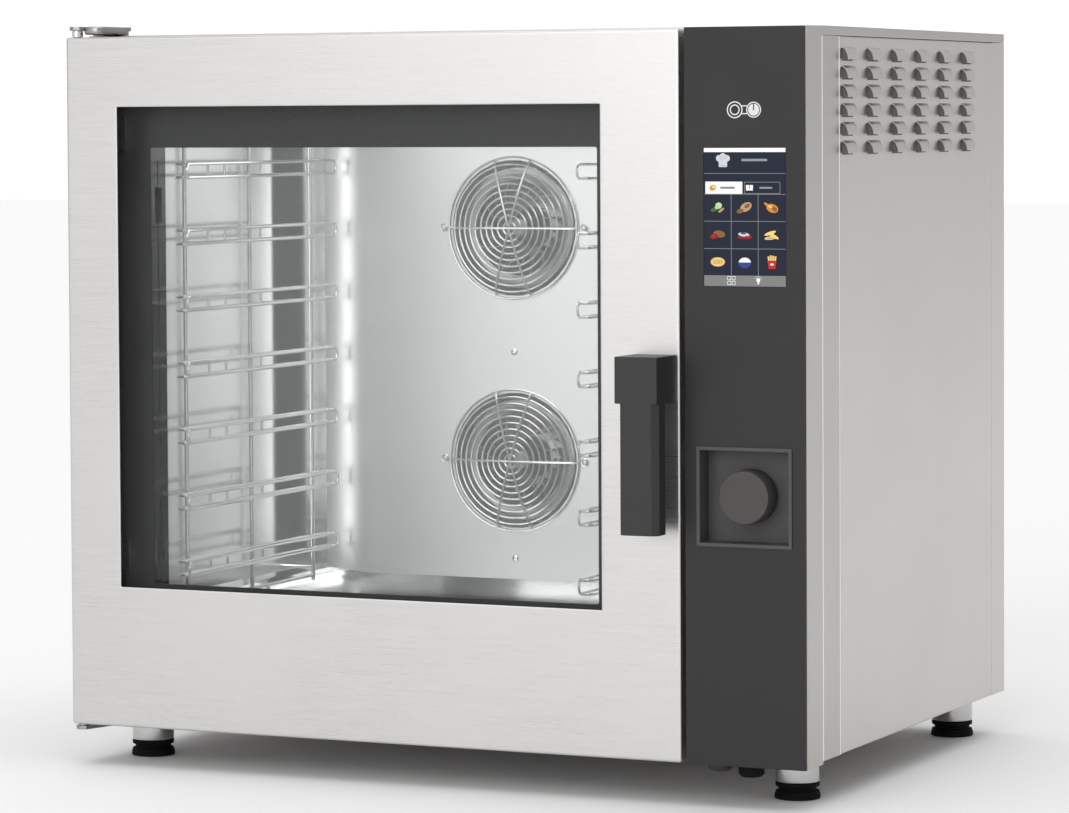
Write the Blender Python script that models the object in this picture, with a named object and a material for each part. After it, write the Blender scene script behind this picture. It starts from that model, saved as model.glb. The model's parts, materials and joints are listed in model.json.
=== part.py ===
"""Combi steamer oven: a counter-top cabinet with a glazed left-hung door, a control column
with display and knob, a ventilated right side, and the cooking chamber behind the door.

Metres, +Z up, front towards -Y. Pieces are laid out in a drawing frame whose x starts at the
door's left edge, y at the front of the door and z at the underside of the door; world() moves
that frame so the origin is the middle of the footprint, on the surface the feet stand on.
"""
import math

import bmesh
import bpy
from mathutils import Vector

# ---- overall sizes -------------------------------------------------------------------------
BODY_W = 0.9207          # across the cabinet
BODY_D = 0.667           # door front to the back of the cabinet
BODY_TOP = 0.806         # top of the cabinet above the door's lower edge
BODY_BOTTOM = 0.0046     # underside of the cabinet panels
FOOT_H = 0.050           # floor to the underside of the cabinet
SHEET = 0.0015           # steel sheet
GAP = 0.0003             # working gap between pieces that touch
FIT = 0.0005             # running clearance round turning and sliding pieces

# ---- door ----------------------------------------------------------------------------------
DOOR_T = 0.048
DOOR_Z = (0.0013, BODY_TOP - 0.0026)
PANEL_W = 0.1407         # control column
PANEL_GAP = 0.006        # slot between door and control column
DOOR_W = BODY_W - PANEL_W - PANEL_GAP
WINDOW_MARGIN_X = (0.0673, 0.0944)     # steel left of and right of the window
WINDOW_MARGIN_Z = (0.1635, 0.0809)     # steel below and above the window
GLASS_LAP = 0.012        # glass hidden behind the steel all round
GLASS_T = 0.005
DOOR_BODY_GAP = 0.0033
BODY_Y = DOOR_T + DOOR_BODY_GAP        # front plane of the cabinet
INNER_SIGHT_SIDE = 0.047               # side bars of the inner door frame, beyond the window
INNER_SIGHT_END = 0.030

# ---- hinge ---------------------------------------------------------------------------------
HINGE_IN = 0.010         # pin axis from the door's left edge and from its front
PIN_R = 0.004
STRAP_T = 0.0045
STRAP_RISE = 0.0055      # strap stands this far off the cabinet top
STRAP_W = 0.045

# ---- handle and latch ----------------------------------------------------------------------
HANDLE_OUT = 0.055
HANDLE_X = (DOOR_W - 0.054, DOOR_W - 0.004)
HEAD_Z = (0.3975, 0.4485)
HANDLE_BOTTOM = 0.2545
GRIP_T = 0.024           # front to back
GRIP_STEP = 0.0065       # grip is narrower than the head on its left side
SPINDLE_R = 0.006
CAM_LENGTH = 0.018       # finger's tip from the spindle's axis
LATCH_DEPTH = 0.012      # how far the cam reaches into the cabinet front

# ---- chamber -------------------------------------------------------------------------------
CAV_SIDE_L = 0.050       # chamber wall from the cabinet's left side
CAV_SIDE_R = 0.084       # chamber wall from the door's right edge
CAV_FLOOR = 0.120
CAV_HEAD = 0.096         # chamber ceiling below the cabinet top
MACHINE_D = 0.147        # space behind the chamber for the fan motors
CORNER_R = 0.020
CAV_X = (CAV_SIDE_L, DOOR_W - CAV_SIDE_R)
CAV_Z = (CAV_FLOOR, BODY_TOP - CAV_HEAD)
CAV_Y = (BODY_Y + SHEET + GAP, BODY_D - MACHINE_D)
CAV_MID_X = (CAV_X[0] + CAV_X[1]) / 2
BAFFLE_BACK = 0.085      # baffle stands this far off the chamber's back wall
BAFFLE_SIDE = 0.038      # air slot between each side wall and the baffle
BAFFLE_FOLD = 0.124      # fold line of the baffle's slanted flanks, from the side wall
BAFFLE_FLANK = 0.040     # how far back the flanks slant
BAFFLE_END = 0.022
BAFFLE_Y = CAV_Y[1] - BAFFLE_BACK
FAN_SHARES = {"upper": 0.768, "lower": 0.285}    # height of each fan in the chamber
FAN_HOLE_R = 0.083
GUARD_R = 0.088
GUARD_WIRE = 0.0012
IMPELLER_R = 0.074
IMPELLER_L = 0.050
SHAFT_R = 0.006
MOTOR_R = 0.045
MOTOR_L = 0.072
HEATER_R = 0.096
HEATER_WIRE = 0.004

# ---- racks ---------------------------------------------------------------------------------
RACK_IN = 0.070          # inner line of the rack from the chamber wall
RACK_ARM = 0.020         # posts stand this far behind the inner line
RACK_PITCH = 0.0778
RACK_TOP_DROP = 0.0545   # top rail below the chamber ceiling
RAIL_SPREAD = 0.0157     # upper to lower wire of one rail
RAIL_WIRE = 0.0020
POST_WIRE = 0.0030
RACK_Y = (BODY_Y + 0.017, BAFFLE_Y + 0.012)
POST_IN = 0.030

# ---- control column ------------------------------------------------------------------------
PANEL_X = (DOOR_W + PANEL_GAP, BODY_W)
FASCIA_T = 0.003
FASCIA_Z = (0.001, BODY_TOP - 0.001)
DISPLAY_W, DISPLAY_H = 0.095, 0.150
DISPLAY_LEFT = 0.023     # from the column's left edge
DISPLAY_TOP = 0.132      # below the cabinet top
CUP_W, CUP_H = 0.1035, 0.101
CUP_DEPTH = 0.025
CUP_WALL = 0.0012
CUP_RIM = 0.004
CUP_CENTRE = (0.0693, 0.295)           # from the column's left edge, and height
KNOB_R = 0.030
KNOB_T = 0.024
KNOB_PROUD = 0.003
KNOB_SHAFT_R = 0.004
PLUNGER_R = 0.007
PRESS = 0.0015

# ---- cabinet -------------------------------------------------------------------------------
COVER_LIP = 0.0103       # depth of the top cover's lip
FRONT_RETURN = 0.0527    # front frame folds back this far
REAR_RETURN = 0.047
HEM = 0.012
LOUVRE_ROWS, LOUVRE_COLS = 6, 6
LOUVRE_PITCH_Y, LOUVRE_PITCH_Z = 0.0795, 0.0206
LOUVRE_L, LOUVRE_H, LOUVRE_OUT = 0.039, 0.014, 0.008
LOUVRE_START_Y = 0.0275  # first louvre's middle behind the side panel's front edge
LOUVRE_DROP = 0.0293     # top row's middle below the cabinet top

# ---- feet ----------------------------------------------------------------------------------
FOOT_IN = 0.050
SLEEVE_R = 0.025
SLEEVE_H = 0.031
INSERT_R = 0.015
STRAP_BACK = FOOT_IN - SLEEVE_R - 0.003    # hinge straps stop short of the feet

# ---- services ------------------------------------------------------------------------------
DRAIN_R = 0.020
DUCT_R = 0.024
PIPE_OUT = 0.030         # drain and inlet stand out behind the cabinet

LOUVRED_W = BODY_W + LOUVRE_OUT
WORLD_SHIFT = Vector((-LOUVRED_W / 2, -(BODY_D + PIPE_OUT - HANDLE_OUT) / 2, FOOT_H - BODY_BOTTOM))

# name: colour, roughness, metallic
PAINTS = {
    "brushed_steel": ((0.66, 0.65, 0.63), 0.32, 1.0),
    "bright_steel": ((0.78, 0.78, 0.78), 0.18, 1.0),
    "steel_wire": ((0.72, 0.72, 0.71), 0.22, 1.0),
    "black_panel": ((0.050, 0.050, 0.050), 0.45, 0.0),
    "black_plastic": ((0.040, 0.040, 0.040), 0.50, 0.0),
    "knob_grey": ((0.100, 0.090, 0.090), 0.55, 0.0),
    "clear_glass": ((0.80, 0.86, 0.86), 0.03, 0.0),
    "display_glass": ((0.015, 0.017, 0.030), 0.12, 0.0),
    "silicone": ((0.060, 0.060, 0.062), 0.70, 0.0),
    "cast_metal": ((0.30, 0.31, 0.32), 0.55, 0.8),
    "circuit_board": ((0.02, 0.16, 0.08), 0.60, 0.0),
    "mineral_wool": ((0.62, 0.57, 0.42), 0.95, 0.0),
    "white_plastic": ((0.75, 0.75, 0.72), 0.50, 0.0),
}


# ---- helpers -------------------------------------------------------------------------------
def world(x, y, z):
    """A point of the drawing frame, in the world."""
    return Vector((x, y, z)) + WORLD_SHIFT


def at(axis, level, u, v):
    """A point on a plane across one axis; u and v are the two other coordinates in order."""
    return {"X": (level, u, v), "Y": (u, level, v), "Z": (u, v, level)}[axis]


def rect(axis, level, u, v, radius=0.0, steps=4):
    """A rectangle's outline across an axis, with round corners when a radius is given."""
    corners = [(u[1], v[1], 0), (u[0], v[1], 90), (u[0], v[0], 180), (u[1], v[0], 270)]
    if radius == 0:
        return [at(axis, level, cu, cv) for cu, cv, _ in corners]
    points = []
    for cu, cv, start in corners:
        mu = cu - math.copysign(radius, cu - sum(u) / 2)
        mv = cv - math.copysign(radius, cv - sum(v) / 2)
        for k in range(steps + 1):
            turn = math.radians(start + 90 * k / steps)
            points.append(at(axis, level, mu + radius * math.cos(turn), mv + radius * math.sin(turn)))
    return points


def circle(axis, level, centre, radius, sides=20):
    """A circle's outline across an axis."""
    turns = [2 * math.pi * (k + 0.5) / sides for k in range(sides)]
    return [at(axis, level, centre[0] + radius * math.cos(t), centre[1] + radius * math.sin(t))
            for t in turns]


def turned(axis, centre, profile, sides=16):
    """Circles along an axis, from (level, radius) pairs."""
    return [circle(axis, level, centre, radius, sides) for level, radius in profile]


def block(x, y, z):
    """The outlines of a plain block."""
    return [rect("Z", z[0], x, y), rect("Z", z[1], x, y)]


def ring_wire(axis, level, centre, radius, wire, sides):
    """A round hoop of square wire, as four circles."""
    return turned(axis, centre, [(level - wire, radius - wire), (level - wire, radius + wire),
                                 (level + wire, radius + wire), (level + wire, radius - wire)], sides)


def bar(start, end, wire):
    """A straight square bar between two points, with its faces turned 45 degrees."""
    a, b = Vector(start), Vector(end)
    along = (b - a).normalized()
    side = along.cross(Vector((0.31, 0.52, 0.80))).normalized()
    up = along.cross(side)
    around = [side * wire, up * wire, -side * wire, -up * wire]
    return [[tuple(a + r) for r in around], [tuple(b + r) for r in around]]


def swept(path, radius, sides, normal, loop=False):
    """A round wire's rings along a path that lies in the plane across the normal."""
    points = [Vector(p) for p in path]
    count = len(points)
    rings = []
    for i, point in enumerate(points):
        before = points[i - 1] if loop or i > 0 else point
        after = points[(i + 1) % count] if loop or i < count - 1 else point
        arrive = (point - before).normalized() if point != before else Vector()
        leave = (after - point).normalized() if after != point else Vector()
        side = (arrive + leave).normalized().cross(Vector(normal)).normalized()
        turns = [2 * math.pi * (k + 0.5) / sides for k in range(sides)]
        rings.append([tuple(point + radius * (math.cos(t) * side + math.sin(t) * Vector(normal)))
                      for t in turns])
    return rings


def make_mesh(name, shells, origin):
    """A mesh from shells, each a list of equal outlines; a ring shell closes on itself."""
    bm = bmesh.new()
    for outlines, is_ring in shells:
        rows = [[bm.verts.new(Vector(p) - Vector(origin)) for p in outline] for outline in outlines]
        pairs = list(zip(rows, rows[1:])) + ([(rows[-1], rows[0])] if is_ring else [])
        for low, high in pairs:
            for i in range(len(low)):
                j = (i + 1) % len(low)
                bm.faces.new((low[i], low[j], high[j], high[i]))
        if not is_ring:
            bm.faces.new(rows[0][::-1])
            bm.faces.new(rows[-1])
    bmesh.ops.recalc_face_normals(bm, faces=bm.faces)
    mesh = bpy.data.meshes.new(name)
    bm.to_mesh(mesh)
    bm.free()
    return mesh


def material(name):
    """The named paint as a Principled material, made once."""
    if name in bpy.data.materials:
        return bpy.data.materials[name]
    colour, roughness, metallic = PAINTS[name]
    paint = bpy.data.materials.new(name)
    paint.use_nodes = True
    shader = paint.node_tree.nodes["Principled BSDF"]
    shader.inputs["Base Color"].default_value = (*colour, 1.0)
    shader.inputs["Roughness"].default_value = roughness
    shader.inputs["Metallic"].default_value = metallic
    paint.diffuse_color = (*colour, 1.0)
    return paint


def solid(name, outlines, paint, origin, ring=False, smooth=False):
    """One named piece from a single shell, with its origin at a point of the drawing frame."""
    return solid_of(name, [(outlines, ring)], paint, origin, smooth)


def solid_of(name, shells, paint, origin, smooth=False):
    """One named piece from several shells."""
    mesh = make_mesh(name, shells, origin)
    piece = bpy.data.objects.new(name, mesh)
    bpy.context.collection.objects.link(piece)
    piece.location = world(*origin)
    mesh.materials.append(material(paint))
    if smooth:
        mesh.shade_smooth()
        mesh.set_sharp_from_angle(angle=math.radians(35))
    return piece


def tool(target, operation, shells, label):
    """A hidden solid joined to, or cut from, a piece."""
    mesh = make_mesh(f"{target.name}_{label}", shells, (0, 0, 0))
    helper = bpy.data.objects.new(mesh.name, mesh)
    bpy.context.collection.objects.link(helper)
    helper.location = world(0, 0, 0)
    helper.hide_render = True
    helper.display_type = "WIRE"
    change = target.modifiers.new(label, "BOOLEAN")
    change.operation = operation
    change.solver = "EXACT"
    change.object = helper


def cut(target, label, *shells):
    tool(target, "DIFFERENCE", [(shell, False) for shell in shells], label)


def join(target, label, *shells):
    tool(target, "UNION", [(shell, False) for shell in shells], label)


def cup(axis, shut, floor, mouth, outer, inner):
    """A box or dish open at one end: outer wall, rim, inner wall and floor."""
    return [outer(axis, shut), outer(axis, mouth), inner(axis, mouth), inner(axis, floor)]


def tray(axis, shut, floor, mouth, u, v, wall, radius=0.0):
    """A folded tray: a cup with straight sides and an even wall."""
    small_u, small_v = (u[0] + wall, u[1] - wall), (v[0] + wall, v[1] - wall)
    return cup(axis, shut, floor, mouth,
               lambda a, level: rect(a, level, u, v, radius),
               lambda a, level: rect(a, level, small_u, small_v, max(radius - wall, 0.0)))


def middle(*ranges):
    """The middle of a block given by its three ranges."""
    return tuple(sum(r) / 2 for r in ranges)


def grown(span, amount):
    """A range made longer at both ends."""
    return (span[0] - amount, span[1] + amount)


def fan_height(place):
    return CAV_Z[0] + FAN_SHARES[place] * (CAV_Z[1] - CAV_Z[0])


# ---- cabinet -------------------------------------------------------------------------------
LIP_Z = BODY_TOP - COVER_LIP
SIDE_Z = (BODY_BOTTOM, LIP_Z - GAP)
SIDE_Y = (BODY_Y + FRONT_RETURN, BODY_D - REAR_RETURN - GAP)
LATCH_Z = sum(HEAD_Z) / 2
LATCH_X = sum(HANDLE_X) / 2
LATCH_HOLE_X = (LATCH_X - CAM_LENGTH - FIT, LATCH_X + CAM_LENGTH + FIT)
LATCH_HOLE_Z = (LATCH_Z - 0.028, LATCH_Z + 0.028)
DUCT_AT = (CAV_X[0] + 0.140, CAV_Y[1] - 0.045)
LAMP_AT = (CAV_MID_X, BODY_Y + 0.075)
LAMP_R = 0.028
DRAIN_AT = (CAV_MID_X, BODY_Y + 0.170)
DRAIN_PIPE_Z = CAV_FLOOR - 0.060
DRAIN_BEND = 0.030
INJECTOR_AT = (CAV_X[1] - 0.050, sum(CAV_Z) / 2)
INJECTOR_R = 0.004
VALVE_R = 0.012
GLAND_AT = (BODY_W - 0.070, 0.080)
GLAND_R = 0.011
HEATER_LEGS = 0.020      # half the distance between a heater's two legs
HEATER_Y = BAFFLE_Y + 0.045


def heater_leg_height(place):
    return fan_height(place) - math.sqrt(HEATER_R ** 2 - HEATER_LEGS ** 2)


def build_cabinet():
    frame = solid("front_frame", tray("Y", BODY_Y, BODY_Y + SHEET, BODY_Y + FRONT_RETURN - GAP,
                                      (0, BODY_W), SIDE_Z, SHEET),
                  "brushed_steel", (BODY_W / 2, BODY_Y, sum(SIDE_Z) / 2))
    through = (BODY_Y - 0.01, BODY_Y + 0.01)
    cut(frame, "openings",
        [rect("Y", y, CAV_X, CAV_Z, CORNER_R) for y in through],
        block(LATCH_HOLE_X, through, LATCH_HOLE_Z),
        block((PANEL_X[0] + 0.030, BODY_W - 0.030), through, (0.42, 0.70)))

    cover = solid("top_cover", tray("Z", BODY_TOP, BODY_TOP - SHEET, LIP_Z,
                                    (0, BODY_W), (BODY_Y, BODY_D), SHEET),
                  "brushed_steel", (BODY_W / 2, BODY_D / 2, BODY_TOP))
    cut(cover, "exhaust", turned("Z", DUCT_AT, [(LIP_Z, DUCT_R + FIT), (BODY_TOP + 0.01, DUCT_R + FIT)]))

    rear = solid("rear_panel", tray("Y", BODY_D, BODY_D - SHEET, BODY_D - REAR_RETURN,
                                    (0, BODY_W), SIDE_Z, SHEET),
                 "brushed_steel", (BODY_W / 2, BODY_D, sum(SIDE_Z) / 2))
    behind = (BODY_D - 0.01, BODY_D + 0.01)
    cut(rear, "service_holes",
        turned("Y", (DRAIN_AT[0], DRAIN_PIPE_Z), [(y, DRAIN_R + FIT) for y in behind]),
        turned("Y", INJECTOR_AT, [(y, VALVE_R + FIT) for y in behind]),
        turned("Y", GLAND_AT, [(y, GLAND_R + FIT) for y in behind]))

    pan_x, pan_y = grown((0, BODY_W), -(SHEET + GAP)), (SIDE_Y[0] + 0.006, SIDE_Y[1] - 0.001)
    solid("base_pan", tray("Z", BODY_BOTTOM, BODY_BOTTOM + SHEET, BODY_BOTTOM + 0.026, pan_x, pan_y, SHEET),
          "brushed_steel", middle(pan_x, pan_y, (BODY_BOTTOM, BODY_BOTTOM)))

    for name, outer, inner in (("left_side_panel", 0.0, 1), ("right_side_panel", BODY_W, -1)):
        skin, hem = outer + inner * SHEET, outer + inner * HEM
        outline = [(outer, SIDE_Y[0]), (hem, SIDE_Y[0]), (hem, SIDE_Y[0] + SHEET),
                   (skin, SIDE_Y[0] + SHEET), (skin, SIDE_Y[1]), (outer, SIDE_Y[1])]
        panel = solid(name, [[(x, y, z) for x, y in outline] for z in SIDE_Z],
                      "brushed_steel", (outer, sum(SIDE_Y) / 2, sum(SIDE_Z) / 2))
    join(panel, "hoods", *louvres(LOUVRE_OUT, 0.0, 0.0))
    cut(panel, "slots", *louvres(LOUVRE_OUT - 0.0012, 0.0012, 0.004))


def louvres(out, wall, reach):
    """Pressed hoods in rows: each rises from the sheet to an open lower edge. A wall makes the
    hollow inside them, which reaches down past the edge and in through the sheet."""
    shells = []
    for row in range(LOUVRE_ROWS):
        for column in range(LOUVRE_COLS):
            y = SIDE_Y[0] + LOUVRE_START_Y + column * LOUVRE_PITCH_Y
            top = BODY_TOP - LOUVRE_DROP - row * LOUVRE_PITCH_Z + LOUVRE_H / 2 - wall
            edge = top - LOUVRE_H + wall - reach
            half = LOUVRE_L / 2 - wall
            sunk = BODY_W - SHEET / 2 - (SHEET if wall else 0)
            outlines = []
            for share, rise in ((-1.0, 0.15), (-0.62, 1.0), (0.62, 1.0), (1.0, 0.15)):
                here = y + share * half
                proud = BODY_W + rise * out
                high = edge + (top - edge) * (0.55 + 0.45 * rise)
                outlines.append([(sunk, here, edge), (proud, here, edge), (sunk, here, high)])
            shells.append(outlines)
    return shells


def build_feet():
    floor = BODY_BOTTOM - FOOT_H
    sleeve_top = BODY_BOTTOM - GAP
    sleeve_low = sleeve_top - SLEEVE_H
    places = {"front_left": (FOOT_IN, BODY_Y + FOOT_IN), "front_right": (BODY_W - FOOT_IN, BODY_Y + FOOT_IN),
              "rear_left": (FOOT_IN, BODY_D - FOOT_IN), "rear_right": (BODY_W - FOOT_IN, BODY_D - FOOT_IN)}
    bore = INSERT_R + FIT
    for place, centre in places.items():
        solid(f"foot_sleeve_{place}",
              turned("Z", centre, [(sleeve_top, SLEEVE_R), (sleeve_low, SLEEVE_R), (sleeve_low, bore),
                                   (sleeve_top - 0.003, bore)]),
              "bright_steel", (*centre, sleeve_top), smooth=True)
        ring = sleeve_low - GAP
        solid(f"foot_insert_{place}",
              turned("Z", centre, [(sleeve_top - 0.006, INSERT_R), (ring, INSERT_R), (ring, SLEEVE_R),
                                   (ring - 0.005, SLEEVE_R), (ring - 0.007, SLEEVE_R - 0.003),
                                   (floor + 0.006, SLEEVE_R - 0.003), (floor + 0.005, SLEEVE_R + 0.001),
                                   (floor, SLEEVE_R + 0.001)]),
              "black_plastic", (*centre, floor), smooth=True)


# ---- chamber -------------------------------------------------------------------------------
def build_chamber():
    x_out, z_out = grown(CAV_X, SHEET), grown(CAV_Z, SHEET)
    back = CAV_Y[1]
    liner = solid("cavity_liner",
                  tray("Y", back + SHEET, back, CAV_Y[0], x_out, z_out, SHEET, CORNER_R + SHEET),
                  "brushed_steel", (CAV_MID_X, back, sum(CAV_Z) / 2))
    through = (back - 0.01, back + 0.01)
    fans = [turned("Y", (CAV_MID_X, fan_height(p)), [(y, SHAFT_R + FIT) for y in through], 12)
            for p in FAN_SHARES]
    legs = [turned("Y", (CAV_MID_X + side * HEATER_LEGS, heater_leg_height(p)),
                   [(y, HEATER_WIRE + FIT) for y in through], 8)
            for p in FAN_SHARES for side in (-1, 1)]
    cut(liner, "back_holes", *fans, *legs,
        turned("Y", INJECTOR_AT, [(y, INJECTOR_R + FIT) for y in through], 8))
    cut(liner, "duct_hole", turned("Z", DUCT_AT, [(CAV_Z[1] - 0.01, DUCT_R + FIT),
                                                  (CAV_Z[1] + 0.01, DUCT_R + FIT)]))
    cut(liner, "lamp_hole", turned("Z", LAMP_AT, [(CAV_Z[1] - 0.01, LAMP_R + FIT),
                                                  (CAV_Z[1] + 0.01, LAMP_R + FIT)]))
    cut(liner, "drain_hole", turned("Z", DRAIN_AT, [(CAV_Z[0] - 0.01, DRAIN_R + FIT),
                                                    (CAV_Z[0] + 0.01, DRAIN_R + FIT)]))

    wool = 0.025
    wrap = solid("insulation_wrap",
                 tray("Y", back + SHEET + GAP + 0.012, back + SHEET + GAP, BODY_Y + FRONT_RETURN,
                      grown(x_out, GAP + wool), grown(z_out, GAP + wool), wool, CORNER_R + wool),
                 "mineral_wool", (CAV_MID_X, back, sum(CAV_Z) / 2))
    past = (back - 0.01, back + 0.04)
    cut(wrap, "shaft_holes",
        *[turned("Y", (CAV_MID_X, fan_height(p)), [(y, MOTOR_R + 0.004) for y in past]) for p in FAN_SHARES])
    cut(wrap, "leg_holes",
        *[block(grown((CAV_MID_X, CAV_MID_X), HEATER_LEGS + 0.010), past,
                grown((heater_leg_height(p), heater_leg_height(p)), 0.010)) for p in FAN_SHARES],
        turned("Y", INJECTOR_AT, [(y, INJECTOR_R + 0.004) for y in past], 8))
    cut(wrap, "top_holes",
        turned("Z", DUCT_AT, [(CAV_Z[1] - 0.02, DUCT_R + 0.004), (CAV_Z[1] + 0.05, DUCT_R + 0.004)]),
        turned("Z", LAMP_AT, [(CAV_Z[1] - 0.02, LAMP_R + 0.012), (CAV_Z[1] + 0.05, LAMP_R + 0.012)]))
    cut(wrap, "drain_hole",
        turned("Z", DRAIN_AT, [(CAV_Z[0] - 0.05, DRAIN_R + 0.004), (CAV_Z[0] + 0.02, DRAIN_R + 0.004)]))

    baffle_z = grown(CAV_Z, -BAFFLE_END)
    fold, edge = grown(CAV_X, -BAFFLE_FOLD), grown(CAV_X, -BAFFLE_SIDE)
    flank_y = BAFFLE_Y + BAFFLE_FLANK
    plan = [(edge[0], flank_y), (fold[0], BAFFLE_Y), (fold[1], BAFFLE_Y), (edge[1], flank_y)]
    thick = [(x, y + 1.2 * SHEET) for x, y in plan[::-1]]
    baffle = solid("fan_baffle", [[(x, y, z) for x, y in plan + thick] for z in baffle_z],
                   "brushed_steel", (CAV_MID_X, BAFFLE_Y, sum(baffle_z) / 2))
    cut(baffle, "fan_holes",
        *[turned("Y", (CAV_MID_X, fan_height(p)), [(BAFFLE_Y - 0.01, FAN_HOLE_R), (BAFFLE_Y + 0.01, FAN_HOLE_R)],
                 28) for p in FAN_SHARES])


def build_fans():
    back = CAV_Y[1] + SHEET
    for place in FAN_SHARES:
        centre = (CAV_MID_X, fan_height(place))
        face = BAFFLE_Y - GAP - GUARD_WIRE
        dish = 0.012
        rings = [(GUARD_R, 0.0), (GUARD_R * 0.72, 0.72), (GUARD_R * 0.38, 1.0)]
        guard = solid(f"fan_guard_{place}",
                      ring_wire("Y", face, centre, GUARD_R, GUARD_WIRE, 20),
                      "steel_wire", (centre[0], face, centre[1]), ring=True, smooth=True)
        hoops = [(ring_wire("Y", face - dish * rise, centre, radius, GUARD_WIRE, 16), True)
                 for radius, rise in rings[1:]]
        tool(guard, "UNION", hoops, "hoops")
        for label, turn in (("spoke_a", 0), ("spoke_b", 74), ("spoke_c", 106)):
            join(guard, label, guard_spoke(centre, face, dish, rings, math.radians(turn)))

        front = BAFFLE_Y + 0.012
        disc = front + IMPELLER_L
        impeller = solid(f"fan_impeller_{place}",
                         turned("Y", centre, [(front, 0.012), (front + 0.018, 0.016), (disc, 0.016),
                                              (disc, IMPELLER_R), (disc + 0.0025, IMPELLER_R),
                                              (disc + 0.0025, SHAFT_R), (back + 0.014, SHAFT_R)]),
                         "bright_steel", (centre[0], front, centre[1]), smooth=True)
        blades = []
        for k in range(10):
            turn = 2 * math.pi * k / 10
            along = (math.cos(turn), math.sin(turn))
            lean = (math.cos(turn + 0.9), math.sin(turn + 0.9))
            root = [centre[i] + 0.040 * along[i] for i in (0, 1)]
            tip = [centre[i] + (IMPELLER_R - 0.003) * math.cos(0.28) * along[i] + 0.010 * lean[i] for i in (0, 1)]
            thick = [0.0008 * -math.sin(turn + 0.3), 0.0008 * math.cos(turn + 0.3)]
            corners = [(root[0] + thick[0], root[1] + thick[1]), (tip[0] + thick[0], tip[1] + thick[1]),
                       (tip[0] - thick[0], tip[1] - thick[1]), (root[0] - thick[0], root[1] - thick[1])]
            blades.append([[(x, y, z) for x, z in corners] for y in (front + 0.004, disc + 0.001)])
        join(impeller, "blades", *blades)

        start = back + 0.016
        spigot = MOTOR_R - 0.010
        solid(f"fan_motor_{place}",
              turned("Y", centre, [(start, SHAFT_R + FIT), (back + GAP, SHAFT_R + FIT), (back + GAP, spigot),
                                   (start, spigot), (start, MOTOR_R), (start + MOTOR_L, MOTOR_R),
                                   (start + MOTOR_L + 0.008, spigot)]),
              "cast_metal", (centre[0], start, centre[1]), smooth=True)

        leg_z = heater_leg_height(place)
        spread = math.asin(HEATER_LEGS / HEATER_R)
        sweep = [-math.pi / 2 + spread + (2 * math.pi - 2 * spread) * k / 26 for k in range(27)]
        path = [(CAV_MID_X + HEATER_R * math.cos(t), HEATER_Y, centre[1] + HEATER_R * math.sin(t))
                for t in sweep]
        coil = solid(f"heater_ring_{place}", swept(path, HEATER_WIRE, 6, (0, 1, 0)),
                     "cast_metal", (CAV_MID_X, HEATER_Y, centre[1]), smooth=True)
        for label, end in (("leg_right", path[0]), ("leg_left", path[-1])):
            join(coil, label, turned("Y", (end[0], end[2]),
                                     [(HEATER_Y - 0.0035, HEATER_WIRE), (back + 0.020, HEATER_WIRE)], 8))


def guard_spoke(centre, face, dish, rings, turn):
    """A bent wire across the guard, following its dish from rim to rim."""
    radii = [(-radius, rise) for radius, rise in rings] + [(radius, rise) for radius, rise in rings[::-1]]
    along = (math.cos(turn), math.sin(turn))
    side = (-math.sin(turn), math.cos(turn))
    half = GUARD_WIRE * 0.8
    outlines = []
    for radius, rise in radii:
        x, z = centre[0] + radius * along[0], centre[1] + radius * along[1]
        y = face - dish * rise
        outlines.append([(x + half * side[0], y - half, z + half * side[1]),
                         (x + half * side[0], y + half, z + half * side[1]),
                         (x - half * side[0], y + half, z - half * side[1]),
                         (x - half * side[0], y - half, z - half * side[1])])
    return outlines


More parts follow.
